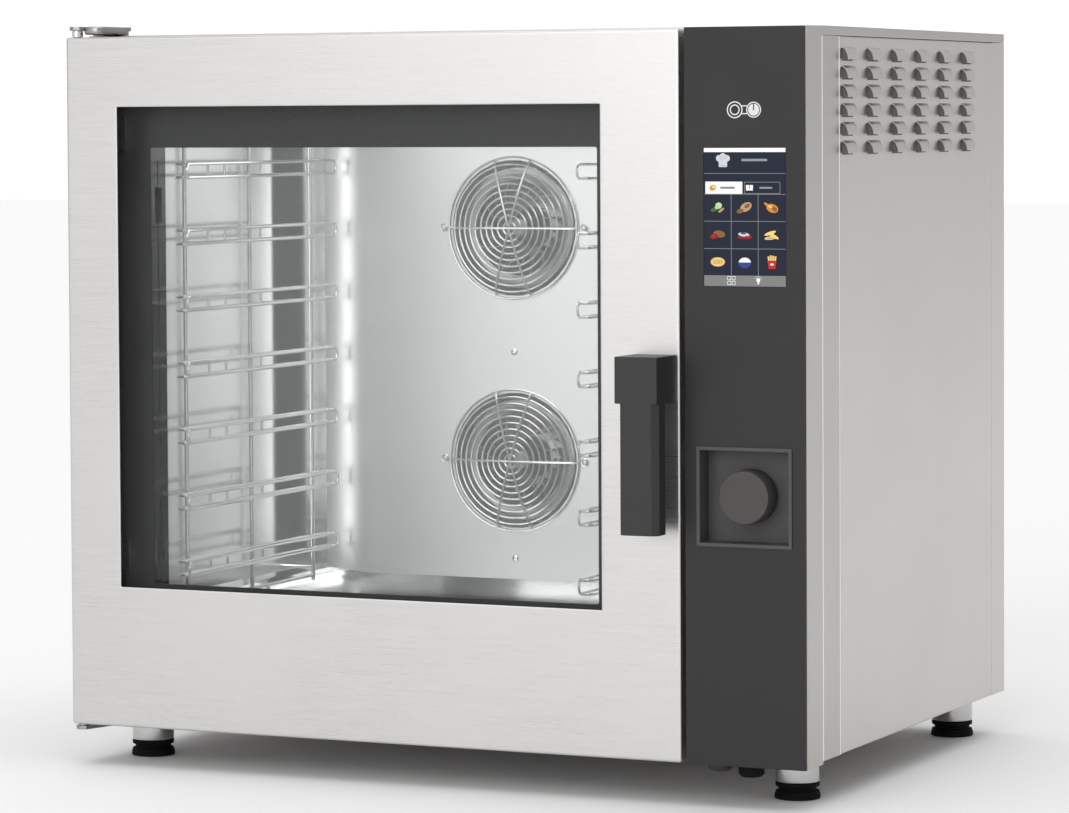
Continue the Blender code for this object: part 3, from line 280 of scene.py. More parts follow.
def blend(paint, factor, first, second):
    """A colour between two, by a factor."""
    node = paint.node_tree.nodes.new("ShaderNodeMix")
    node.data_type = "RGBA"
    node.inputs[6].default_value, node.inputs[7].default_value = (*first, 1), (*second, 1)
    paint.node_tree.links.new(factor, node.inputs[0])
    return node.outputs[2]


def relief(paint, height, strength, distance):
    """A bump from a height onto the shader's normal."""
    bump = paint.node_tree.nodes.new("ShaderNodeBump")
    bump.inputs["Strength"].default_value = strength
    bump.inputs["Distance"].default_value = distance
    shader = paint.node_tree.nodes["Principled BSDF"]
    paint.node_tree.links.new(height, bump.inputs["Height"])
    paint.node_tree.links.new(bump.outputs["Normal"], shader.inputs["Normal"])


def feed(paint, output, socket):
    """A node's output led to a socket of the paint's shader."""
    paint.node_tree.links.new(output, paint.node_tree.nodes["Principled BSDF"].inputs[socket])


STREAK_SCALE, CLOUD_SCALE = 2400.0, 5.0
STREAK_TONE = 0.03              # share by which streaks are lighter or darker than the sheet
STREAK_RELIEF, STREAK_DEPTH = 0.20, 0.00001
CLOUD_SPREAD = 0.03             # change of roughness from handling marks


def brushed(name, colour, roughness, stretch, spread=0.05):
    """Ground stainless sheet: streaks, long one way and fine across, vary the roughness, the
    tone and the height; a slow cloud of handling marks varies the roughness a little more."""
    paint = new_paint(name, colour, roughness, 1.0)
    streaks = noise(paint, STREAK_SCALE, stretch, 3.0, 0.6)
    clouds = noise(paint, CLOUD_SCALE)
    lighter = tuple(min(c * (1 + STREAK_TONE), 1.0) for c in colour)
    darker = tuple(c * (1 - STREAK_TONE) for c in colour)
    feed(paint, blend(paint, ranged(paint, streaks, 0, 1), darker, lighter), "Base Color")
    both = paint.node_tree.nodes.new("ShaderNodeMath")
    both.operation = "ADD"
    link = paint.node_tree.links.new
    link(ranged(paint, streaks, roughness - spread, roughness + spread), both.inputs[0])
    link(ranged(paint, clouds, -CLOUD_SPREAD, CLOUD_SPREAD), both.inputs[1])
    feed(paint, both.outputs[0], "Roughness")
    relief(paint, streaks, STREAK_RELIEF, STREAK_DEPTH)
    return paint


STREAK_SHARE = 0.006            # a streak's width as a share of its length
ALONG_X = (STREAK_SHARE, 1.0, 1.0)
ALONG_Y = (1.0, STREAK_SHARE, 1.0)
ALONG_Z = (1.0, 1.0, STREAK_SHARE)
EVEN = (1.0, 1.0, 1.0)


def grained(name, colour, roughness, scale=1400.0, depth=0.00004, lift=1.25, **sockets):
    """Moulded plastic or fine textured paint: a fine pebble grain in the height and tone."""
    paint = new_paint(name, colour, roughness, 0.0, **sockets)
    pebbles = noise(paint, scale, (1, 1, 1), 2.0)
    lighter = tuple(c * lift for c in colour)
    feed(paint, blend(paint, ranged(paint, pebbles, 0, 1), colour, lighter), "Base Color")
    feed(paint, ranged(paint, noise(paint, 9.0), roughness - 0.05, roughness + 0.05), "Roughness")
    relief(paint, pebbles, 0.3, depth)
    return paint


def pane(name, tint, gloss, blur=0.02):
    """Clear flat glass: light passes straight through with a faint tint, and a mirror image of the
    surroundings lies over it, its share rising from gloss square on to all at a glancing view as
    the fifth power of the facing weight."""
    paint = bpy.data.materials.new(name)
    paint.use_nodes = True
    tree = paint.node_tree
    tree.nodes.remove(tree.nodes["Principled BSDF"])
    clear = tree.nodes.new("ShaderNodeBsdfTransparent")
    clear.inputs["Color"].default_value = (*tint, 1)
    mirror = tree.nodes.new("ShaderNodeBsdfGlossy")
    mirror.inputs["Color"].default_value = (0.96, 0.97, 0.98, 1)
    mirror.inputs["Roughness"].default_value = blur
    slant = tree.nodes.new("ShaderNodeLayerWeight")
    slant.inputs["Blend"].default_value = 0.5
    power = tree.nodes.new("ShaderNodeMath")
    power.operation, power.inputs[1].default_value = "POWER", 5.0
    share = tree.nodes.new("ShaderNodeMapRange")
    share.inputs["To Min"].default_value = gloss
    mix = tree.nodes.new("ShaderNodeMixShader")
    tree.links.new(slant.outputs["Facing"], power.inputs[0])
    tree.links.new(power.outputs[0], share.inputs["Value"])
    tree.links.new(share.outputs["Result"], mix.inputs[0])
    tree.links.new(clear.outputs[0], mix.inputs[1])
    tree.links.new(mirror.outputs[0], mix.inputs[2])
    tree.links.new(mix.outputs[0], tree.nodes["Material Output"].inputs["Surface"])
    return paint


def lit(name, colour, strength):
    """A glowing flat colour under glass, as on a screen."""
    paint = new_paint(name, tuple(0.3 * c for c in colour), 0.35, Specular_IOR_Level=0.12)
    shader = paint.node_tree.nodes["Principled BSDF"]
    shader.inputs["Emission Color"].default_value = (*colour, 1)
    shader.inputs["Emission Strength"].default_value = strength
    return paint


paints = {
    "door": brushed("door_steel", (0.585, 0.575, 0.565), 0.30, ALONG_X),
    "side": brushed("cabinet_steel", (0.588, 0.564, 0.548), 0.34, ALONG_Z),
    "lip": brushed("lip_steel", (0.500, 0.482, 0.468), 0.34, ALONG_Y),
    "chamber": brushed("chamber_steel", (0.80, 0.80, 0.795), 0.11, ALONG_X, spread=0.03),
    # bead_steel_painted_highlight is far lighter than the cabinet steel: a painted highlight on the
    # rolled seam edges.
    "bead": brushed("bead_steel_painted_highlight", (0.90, 0.90, 0.89), 0.45, ALONG_Z),
    "bright": brushed("bright_steel", (0.76, 0.76, 0.76), 0.16, ALONG_Z, spread=0.03),
    "wire": brushed("polished_wire", (0.62, 0.62, 0.62), 0.24, EVEN, spread=0.02),
    "panel": grained("black_column", (0.015, 0.015, 0.015), 0.42, 2600.0, 0.00001,
                     Specular_IOR_Level=0.32),
    "plastic": grained("black_moulding", (0.021, 0.021, 0.021), 0.46, Specular_IOR_Level=0.35),
    "knob": grained("knob_grey", (0.052, 0.046, 0.046), 0.50, Specular_IOR_Level=0.35),
    "rubber": grained("black_rubber", (0.004, 0.004, 0.004), 0.7, Specular_IOR_Level=0.1),
    "print": grained("black_print", (0.030, 0.030, 0.030), 0.34, 3000.0, 0.000005,
                     Specular_IOR_Level=0.25),
    "pane": pane("door_glass", (0.97, 0.975, 0.975), 0.008),
    # A grey tint over a strip of glass: painted shade from the door's side wall seen through the glass.
    "strip_shade": pane("glass_strip_painted_shade", (0.62, 0.62, 0.62), 0.02),
    "lamp": grained("lamp_glass", (0.80, 0.82, 0.80), 0.15, 200.0, 0.00002, 1.05),
    "cast": grained("cast_metal", (0.30, 0.31, 0.32), 0.50, 600.0),
    "board": grained("board_green", (0.02, 0.12, 0.06), 0.55),
    "wool": grained("mineral_wool", (0.60, 0.54, 0.38), 0.95, 260.0, 0.0006),
    "cream": grained("cream_moulding", (0.70, 0.70, 0.66), 0.45),
    # shaded_hollow: a dark grey sheet painted as the shade inside louvre openings and the open seam
    # joint
    "dark": grained("shaded_hollow", (0.12, 0.115, 0.11), 0.8, 900.0),
    "chrome": brushed("polished_tube", (0.52, 0.52, 0.52), 0.10, ALONG_Z, spread=0.02),
    "baffle": brushed("baffle_steel", (0.78, 0.78, 0.775), 0.42, ALONG_X),
    "cup": grained("tray_black", (0.055, 0.055, 0.055), 0.5, 2000.0, 0.00001,
                   Specular_IOR_Level=0.35),
    "veiled": pane("inner_glass", (0.97, 0.975, 0.97), 0.07, 0.35),
    # hinge_steel_painted_shade is darker than the cabinet steel: painted shade under the hinge straps.
    "hinge": brushed("hinge_steel_painted_shade", (0.34, 0.335, 0.33), 0.30, ALONG_Y),
    "wheel": brushed("fan_wheel_steel", (0.30, 0.30, 0.30), 0.30, EVEN),
    "mark": lit("lit_mark", (0.85, 0.85, 0.85), 0.6),
}
SCREEN = {
    "night": (0.014, 0.017, 0.032), "white": (0.80, 0.80, 0.80), "grey": (0.19, 0.19, 0.19),
    "line": (0.25, 0.26, 0.28), "green": (0.05, 0.14, 0.03), "leaf": (0.42, 0.62, 0.36),
    "tan": (0.42, 0.28, 0.16), "brown": (0.22, 0.10, 0.045), "orange": (0.62, 0.22, 0.025),
    "red": (0.50, 0.020, 0.015), "maroon": (0.22, 0.018, 0.018), "yellow": (0.80, 0.56, 0.18),
    "blue": (0.035, 0.050, 0.26), "silver": (0.55, 0.56, 0.60),
}
SCREEN_GLOW = 0.9
for colour, value in SCREEN.items():
    paints[f"screen_{colour}"] = lit(f"screen_{colour}", value, SCREEN_GLOW)

slot_paint = {
    "brushed_steel": "side", "bright_steel": "bright", "steel_wire": "wire", "black_panel": "panel",
    "black_plastic": "plastic", "knob_grey": "knob", "clear_glass": "pane", "display_glass": "print",
    "silicone": "rubber", "cast_metal": "cast", "circuit_board": "board", "mineral_wool": "wool",
    "white_plastic": "cream",
}
node_paint = {"cavity_liner": "chamber", "fan_baffle": "chamber", "cavity_lamp": "lamp",
              "door_inner_frame": "door", "door_skin": "door", "door_inner_glass": "veiled"}
for part in frame["record"]["subparts"]:
    chosen = paints[node_paint.get(part["node"], slot_paint[part["material_slot"]])]
    carried = frame["nodes"][part["node"]]
    if carried.data.materials:
        carried.material_slots[0].material = chosen
    else:
        carried.data.materials.append(chosen)


# ---- camera, light and floor ----
CAMERA_TURN = (24.944, 2.478, -0.297)           # degrees: to the left, down, and over
CAMERA_FROM_DOOR = (2.5560, -4.2058, 0.7068)    # from the door's lower left front corner
CAMERA_LENS, CAMERA_RISE = 141.31, -0.0996
FOOT_SHOULDER = 0.0043                          # sleeve tops stand this far over the door's foot


def turned_matrix(x_axis, y_axis, z_axis, place):
    """A placing matrix from its three unit vectors and its origin."""
    turned = np.eye(4)
    turned[:3, 0], turned[:3, 1], turned[:3, 2], turned[:3, 3] = x_axis, y_axis, z_axis, place
    return Matrix(turned.tolist())


def set_camera():
    """A long lens to the right of the oven, level with its upper half."""
    door_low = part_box("door_skin")[0]
    sleeve_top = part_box("foot_sleeve_front_left")[1][Z]
    stand = np.array([door_low[X], door_low[Y], sleeve_top - FOOT_SHOULDER])
    yaw, pitch, roll = (math.radians(a) for a in CAMERA_TURN)
    ahead = np.array([-math.sin(yaw), math.cos(yaw), 0])
    right = np.array([math.cos(yaw), math.sin(yaw), 0])
    up = np.array([0, 0, 1])
    ahead, up = (ahead * math.cos(pitch) - up * math.sin(pitch),
                 up * math.cos(pitch) + ahead * math.sin(pitch))
    right, up = (right * math.cos(roll) + up * math.sin(roll),
                 up * math.cos(roll) - right * math.sin(roll))
    camera = added("camera", bpy.data.cameras.new("camera"))
    camera.matrix_world = turned_matrix(right, up, -ahead, stand + CAMERA_FROM_DOOR)
    camera.data.sensor_width, camera.data.lens = 36.0, CAMERA_LENS
    camera.data.shift_y = CAMERA_RISE
    camera.data.clip_end = 100
    bpy.context.scene.camera = camera


def soft_light(name, place, aim, size, power):
    """A plain rectangular lamp at a place, facing the point it is aimed at."""
    lamp = bpy.data.lights.new(name, "AREA")
    lamp.shape, lamp.size, lamp.size_y = "RECTANGLE", size[0], size[1]
    lamp.energy = power
    made = added(name, lamp)
    back = np.array(place, float) - np.array(aim, float)
    back /= np.linalg.norm(back)
    side = np.cross((0, 0, 1), back)
    side /= np.linalg.norm(side)
    made.matrix_world = turned_matrix(side, np.cross(back, side), back, place)
    return made


SURROUND, PATCH = 0.64, 3.3             # brightness of the room, and of the patch's middle
PATCH_TOWARDS = np.array([-0.05, -0.96, 0.27])
PATCH_EDGE = 0.83                       # cosine of the angle at which the patch has faded
BACKDROP = 1.06                         # brightness of the wall behind, as the camera sees it
CEILING, CEILING_ANGLE = 1.45, 70
CHAMBER_LAMP, FLANK_LAMP = 0.95, 0.17   # watts
FLOOR_REACH, FLOOR_DROP = 30.0, 0.0005


def set_studio():
    """A white room: an even surround with one broad bright patch before the door, up to the left.
    The surround's brightness rises smoothly with the cosine of the angle from the patch's middle.
    A wide soft sun lights the floor, one small lamp the chamber and another the left flank of
    its baffle, which the camera doesn't see."""
    world = bpy.data.worlds.new("studio")
    bpy.context.scene.world = world
    world.use_nodes = True
    tree = world.node_tree
    surround = tree.nodes["Background"]
    surround.inputs["Color"].default_value = (1, 1, 1, 1)
    where = tree.nodes.new("ShaderNodeTexCoord")
    facing = tree.nodes.new("ShaderNodeVectorMath")
    facing.operation = "DOT_PRODUCT"
    facing.inputs[1].default_value = PATCH_TOWARDS / np.linalg.norm(PATCH_TOWARDS)
    patch = tree.nodes.new("ShaderNodeMapRange")
    patch.interpolation_type = "SMOOTHSTEP"
    for socket, value in (("From Min", PATCH_EDGE), ("From Max", 1.0), ("To Min", SURROUND),
                          ("To Max", PATCH)):
        patch.inputs[socket].default_value = value
    tree.links.new(where.outputs["Generated"], facing.inputs[0])
    tree.links.new(facing.outputs["Value"], patch.inputs["Value"])
    tree.links.new(patch.outputs["Result"], surround.inputs["Strength"])
    plain = tree.nodes.new("ShaderNodeBackground")
    plain.inputs["Color"].default_value = (1, 1, 1, 1)
    plain.inputs["Strength"].default_value = BACKDROP
    seen = tree.nodes.new("ShaderNodeLightPath")
    mix = tree.nodes.new("ShaderNodeMixShader")
    tree.links.new(seen.outputs["Is Camera Ray"], mix.inputs[0])
    tree.links.new(surround.outputs[0], mix.inputs[1])
    tree.links.new(plain.outputs[0], mix.inputs[2])
    tree.links.new(mix.outputs[0], tree.nodes["World Output"].inputs["Surface"])
    chamber_x, chamber_y, chamber_z = (span("cavity_liner", axis) for axis in (X, Y, Z))
    top = (chamber_x.mean(), chamber_y[0] + 0.16, chamber_z[1] - 0.012)
    under = (top[0] + 0.001, top[1] + 0.02, chamber_z[0])
    soft_light("chamber_lamp", top, under, (0.45, 0.26), CHAMBER_LAMP)
    beside = (chamber_x[0] + 0.006, span("fan_baffle", Y)[0] - 0.030, chamber_z.mean())
    across = (beside[0] + 0.058, beside[1] + 0.052, beside[2])
    soft_light("flank_lamp", beside, across, (0.03, 0.52), FLANK_LAMP).visible_camera = False
    high = added("ceiling_light", bpy.data.lights.new("ceiling_light", "SUN"))
    high.data.energy, high.data.angle = CEILING, math.radians(CEILING_ANGLE)
    floor = bpy.data.meshes.new("floor")
    corners = [(x * FLOOR_REACH, y * FLOOR_REACH, 0) for x, y in ((-1, -1), (1, -1), (1, 1), (-1, 1))]
    floor.from_pydata(corners, [], [(0, 1, 2, 3)])
    ground = added("floor", floor)
    floor.materials.append(new_paint("pale_floor", (0.80, 0.80, 0.80), 0.7))
    ground.location.z = -FLOOR_DROP
    bpy.context.scene.view_settings.view_transform = "Standard"


# ---- door ----
SHEET = 0.0015
BEND = 0.0022           # outside radius of the folded edges
WINDOW_LAP = 0.012      # the outer glass reaches this far behind the face
BORDER_SIDE, BORDER_LOW, BORDER_TOP = 0.0215, 0.001, 0.0475
STRIP = 0.0195          # tinted strip beside the border, painted shade of the door's side wall


def build_door():
    """The door's folded face: from the window's turned-in lip over the flat face and round the
    outer bend to the side walls. Behind the outer glass, a black border printed on the inner
    glass, a tinted strip at its left as painted shade from the door's side wall, and the bright rail
    and clips that hold the inner glass."""
    x, z, y = span("door_skin", X), span("door_skin", Z), span("door_skin", Y)
    window_x = grown(span("door_outer_glass", X), -WINDOW_LAP)
    window_z = grown(span("door_outer_glass", Z), -WINDOW_LAP)
    lip = [(y[0] + SHEET, 0.0), (y[0] + 0.0006, 0.0), (y[0] + 0.0002, -0.0002), (y[0], -0.0006),
           (y[0], -0.0014)]
    inner = rect_rings(Y, window_x, window_z, lip, 0.0012)
    outer = [(y[0], BEND * 1.5)] + quarter(y[0], 0, BEND, 1) + [(y[0] + BEND * 1.6, 0), (y[1], 0),
                                                              (y[1], SHEET)]
    rest = rect_rings(Y, x, z, outer, 0.003)
    back = [(y[1], SHEET), (y[0] + SHEET, SHEET)]
    inside = rect_rings(Y, x, z, back, 0.003)
    skin = lofted(np.concatenate([inner, rest, inside]), ring=True)
    piece("door_face", skin, "door", "door", ["door_skin"])
    softened("door_inner_frame", "door", 0.0006, "door")

    glass_y = span("door_inner_glass", Y)
    sight_x, sight_z = span("door_inner_glass", X), span("door_inner_glass", Z)
    border_x = grown(window_x, -BORDER_SIDE)
    border_z = np.array([window_z[0] + BORDER_LOW, window_z[1] - BORDER_TOP])
    level = glass_y[0] - 0.0006
    rings = [rect_rings(Y, sight_x, sight_z, [(level, 0), (level + 0.0003, 0)], 0.004),
             rect_rings(Y, border_x, border_z, [(level + 0.0003, 0), (level, 0)], 0.003)]
    piece("glass_border", lofted(np.concatenate(rings), ring=True), "print", "door")
    # A tinted strip beside the border, painted shade where the door's side wall darkens the view
    # through the glass.
    strip_x = np.array([border_x[0], border_x[0] + STRIP])
    strip = pillow(Y, strip_x, border_z, (level - 0.0004, level - 0.0001), 0.0005, 0.0001, 1, 1)
    piece("glass_edge_painted_shade", strip, "strip_shade", "door")
    rail_x = strip_x[0] + np.array([0.0048, 0.0066])
    rail_z = np.array([border_z[0] + 0.004, border_z[1] - 0.014])
    rail = pillow(Y, rail_x, rail_z, glass_y[1] + np.array([0.0003, 0.0013]), 0.0004, 0.0003, 2, 2)
    clips = [pillow(Y, rail_x + np.array([-0.004, 0.0035]), middle + np.array([-0.021, 0.021]),
                    glass_y[1] + np.array([0.0014, 0.0022]), 0.001, 0.0003, 3, 2)
             for middle in (border_z[0] + 0.047, border_z[1] - 0.067)]
    piece("inner_glass_rail", rail, "wire", "door")
    piece("inner_glass_clips", joined(clips), "cream", "door")


def build_handle():
    """The lever with soft edges: its head block and the grip, and the latch cam behind the door."""
    softened("door_handle", "plastic", 0.0010, "handle", 3)
    softened("latch_cam", "bright", 0.0004, "handle")


def build_hinges():
    """Straps and pins with soft edges, and a deep rolled lip along the upper strap's free edge; straps
    and lip in steel painted darker than the cabinet's, as painted shade under the strap.
    """
    for place in ("top", "bottom"):
        softened(f"hinge_bracket_{place}", "hinge", 0.0008, "cabinet", 3)
        softened(f"hinge_pin_{place}", "bright", 0.0005)
    x, y, z = (span("hinge_bracket_top", axis) for axis in (X, Y, Z))
    lip_x = np.array([span("hinge_pin_top", X)[1] + 0.0015, x[1]])
    lip = pillow(Z, lip_x, y + np.array([0.004, -0.0005]), z + np.array([0.0004, 0.0]), 0.0110,
                 0.0028, 10, 5)
    piece("hinge_strap_lip_painted_shade", lip, "hinge")


# ---- cabinet ----
HOOD_OUT, HOOD_L, HOOD_H = 0.008, 0.039, 0.014
HOOD_WALL, HOOD_SINK = 0.0012, 0.30
LOUVRE_ROWS, LOUVRE_COLS = 6, 6
LOUVRE_PITCH_Y, LOUVRE_PITCH_Z = 0.0795, 0.0206
LOUVRE_START_Y = 0.0275         # first hood's middle behind the panel's front edge
LOUVRE_DROP = 0.0293            # top row's middle below the cabinet top


def hood_curve(face, y, z, inset, out, start, count):
    """Stations of a louvre hood along Y. Its section rises from the sheet at the top to the open
    edge below as out sin(pi t / 2)^0.55. Along Y, s runs from -1 at the open end to 1, and past
    HOOD_SINK it sinks back as a quarter ellipse."""
    s = np.linspace(start, 1, count)[:, None]
    t = np.linspace(0, 1, 10)[None, :]
    past = np.clip(s - HOOD_SINK, 0, 1) / (1 - HOOD_SINK)
    sink = np.sqrt(np.clip(1 - past ** 2, 0, 1))
    return placed(X, face + out * sink * np.sin(t * math.pi / 2) ** 0.55, y + s * (HOOD_L / 2 - inset),
                  z + HOOD_H / 2 - inset - t * (HOOD_H - 2 * inset))


def hood(face, y, z):
    """A pressed louvre hood: a thin shell, open at its front end and along its lower edge."""
    outer = hood_curve(face, y, z, 0.0, HOOD_OUT, -1.0, 25)
    inner = hood_curve(face + 0.0001, y, z, 0.0, HOOD_OUT - HOOD_WALL, -1.0, 25)
    inner[..., Z] -= HOOD_WALL * np.linspace(1, 0, 10)
    return lofted(np.concatenate([outer, inner[:, ::-1]], axis=1))


def hood_shade(face, y, z):
    """Painted shade for the hollow under a hood: a dark sheet a little inside its shell."""
    curve = hood_curve(face - 0.0002, y, z - 0.0008, 0.0009, HOOD_OUT - 0.0020, -0.93, 20)
    base = curve[:, :1].copy()
    base[..., Z] = curve[:, -1:, Z]
    return lofted(np.concatenate([curve, base], axis=1))


BEAD_R = 0.0008                 # rolled edges of the folded sheets, painted lighter than the sheet as a painted highlight
SEAM_SHADE = (0.0002, 0.0013)    # the open joint behind the right panel's front edge, filled with a dark sheet as painted shade
PLATE_EDGES = {"top_cover": 0.0009, "front_frame": 0.0010, "rear_panel": 0.0010, "base_pan": 0.0008}
DARKER_PLATES = ("top_cover", "front_frame")
REAR_SCREW_IN, REAR_SCREW_UP = 0.018, 0.020


def build_cabinet():
    """Folded panels with round edges, the right one with louvres over dark sheets of painted shade in
    their openings and light rolled edges, a painted highlight, at its two upright seams, and the rear
    one with its screws."""
    for side in ("left", "right"):
        node = f"{side}_side_panel"
        x, y, z = (span(node, axis) for axis in (X, Y, Z))
        if side == "right":
            x = np.array([x[0], x[1] - HOOD_OUT])
        sheet = pillow(X, y, z, x, 0.0015, 0.0020, 4, 4)
        piece(f"{side}_sheet", sheet, "side", replaces=[node])
    face = span("right_side_panel", X)[1] - HOOD_OUT
    y0, top = span("right_side_panel", Y)[0], span("top_cover", Z)[1]
    hoods, shade_sheets = [], []
    for row in range(LOUVRE_ROWS):
        z = top - LOUVRE_DROP - row * LOUVRE_PITCH_Z
        for column in range(LOUVRE_COLS):
            y = y0 + LOUVRE_START_Y + column * LOUVRE_PITCH_Y
            hoods.append(hood(face, y, z))
            shade_sheets.append(hood_shade(face, y, z))
            # A dark strip along each hood's mouth, painted shade in the opening.
            mouth_y = y + np.array([-0.50, 0.36]) * HOOD_L
            mouth_z = z - HOOD_H / 2 + np.array([-0.0014, 0.0030])
            shade_sheets.append(pillow(X, mouth_y, mouth_z, (face - 0.0004, face + 0.0001), 0.0006,
                                0.0001, 3, 1))
    tall = grown(span("right_side_panel", Z), -0.0006)
    deep = face - 0.0002
    # Rolled edges at the two seams, painted light as a painted highlight.
    beads = [tube([(deep, seam, tall[0]), (deep, seam, tall[1])], BEAD_R, (0, 1, 0), 10)
             for seam in (span("front_frame", Y)[0], y0 - 0.0006)]
    piece("rolled_edges_painted_highlight", joined(beads), "bead")
    # A dark strip in the seam's joint, painted shade.
    joint = y0 + np.array(SEAM_SHADE)
    shade_sheets.append(pillow(X, joint, tall, (face - 0.0003, face + 0.0001), 0.0003, 0.0001, 3, 1))
    piece("louvre_hoods", joined(hoods), "side")
    piece("louvre_painted_shade", joined(shade_sheets), "dark")
    for node, edge in PLATE_EDGES.items():
        softened(node, "lip" if node in DARKER_PLATES else "side", edge, "cabinet", 3)

    back, wide, tall = span("rear_panel", Y)[1], span("rear_panel", X), span("rear_panel", Z)
    heads = [screw_head((x, z), back, 1)
             for x in (wide[0] + REAR_SCREW_IN, wide.mean(), wide[1] - REAR_SCREW_IN)
             for z in (tall[0] + REAR_SCREW_UP, tall.mean(), tall[1] - REAR_SCREW_UP)]
    piece("rear_screws", joined(heads), "bright")


def screw_head(centre, face, way, radius=0.0042):
    """A low domed screw head on a face across Y, a dimple for the driver in its middle."""
    profile = [(0.0, 1.0), (0.35, 0.96), (0.75, 0.78), (0.95, 0.50), (0.95, 0.34), (0.35, 0.30),
               (0.30, 0.0)]
    return lofted(circle_rings(Y, centre, [(face + way * radius * 0.55 * out, radius * share)
                                           for out, share in profile], 24))


FOOT_STEM, STEM_FIT = 0.0148, 0.0004    # the stem's radius, and the play round it
SLEEVE_ROOF = 0.003
COLLAR_GAP = 0.0005             # between the sleeve and the foot's collar
GROOVE = 0.0035                 # how deep the groove round the collar is


def build_feet():
    """Polished sleeves over black screwed feet with a grooved collar; each foot's stem runs up
    inside its sleeve and shows when the foot is let down."""
    for place in ("front_left", "front_right", "rear_left", "rear_right"):
        sleeve, insert = f"foot_sleeve_{place}", f"foot_insert_{place}"
        centre = (span(sleeve, X).mean(), span(sleeve, Y).mean())
        radius = np.ptp(span(sleeve, X)) / 2
        low, high = span(sleeve, Z)
        roof, bore = high - SLEEVE_ROOF, FOOT_STEM + STEM_FIT
        profile = eased([(high, 0.0), (high, radius), (low, radius), (low, bore), (roof, bore),
                         (roof, 0.0)], 0.0012)
        skin = lofted(circle_rings(Z, centre, profile))
        piece(f"foot_tube_{place}", skin, "chrome", replaces=[sleeve])
        base, stem_top = span(insert, Z)
        wide = np.ptp(span(insert, X)) / 2
        collar, stem_top = low - base - COLLAR_GAP, stem_top - base
        steps = [(0.0, radius), (0.0045, radius), (0.0060, radius - GROOVE), (0.0085, radius - GROOVE),
                 (0.0100, radius), (0.0125, radius), (0.0130, wide)]
        profile = eased([(stem_top, 0.0), (stem_top, FOOT_STEM), (collar, FOOT_STEM)]
                        + [(collar - down, out) for down, out in steps] + [(0, wide), (0, 0.0)], 0.0008)
        profile[:, 0] += base
        piece(f"foot_ring_{place}", lofted(circle_rings(Z, centre, profile)), "rubber",
              f"levelling_foot_{place}", [insert])


# ---- chamber ----
GUARD_WIRE, GUARD_DISH, GUARD_STEP = 0.0013, 0.0115, 0.0078
CROSSINGS = (0, 74, 106)        # degrees at which wires cross the rings
EYE_AT, EYE_R = 0.0945, 0.0042
WHEEL_DEPTH = 0.050
BLADES, BLADE_START, BLADE_SWEEP, BLADE_HALF = 18, 0.036, 0.62, 0.0006


def circle_path(centre, radius, level, count):
    """Points round a circle on a plane across Y."""
    t = np.arange(count) * TURN / count
    return placed(Y, level, centre[0] + radius * np.cos(t), centre[1] + radius * np.sin(t))


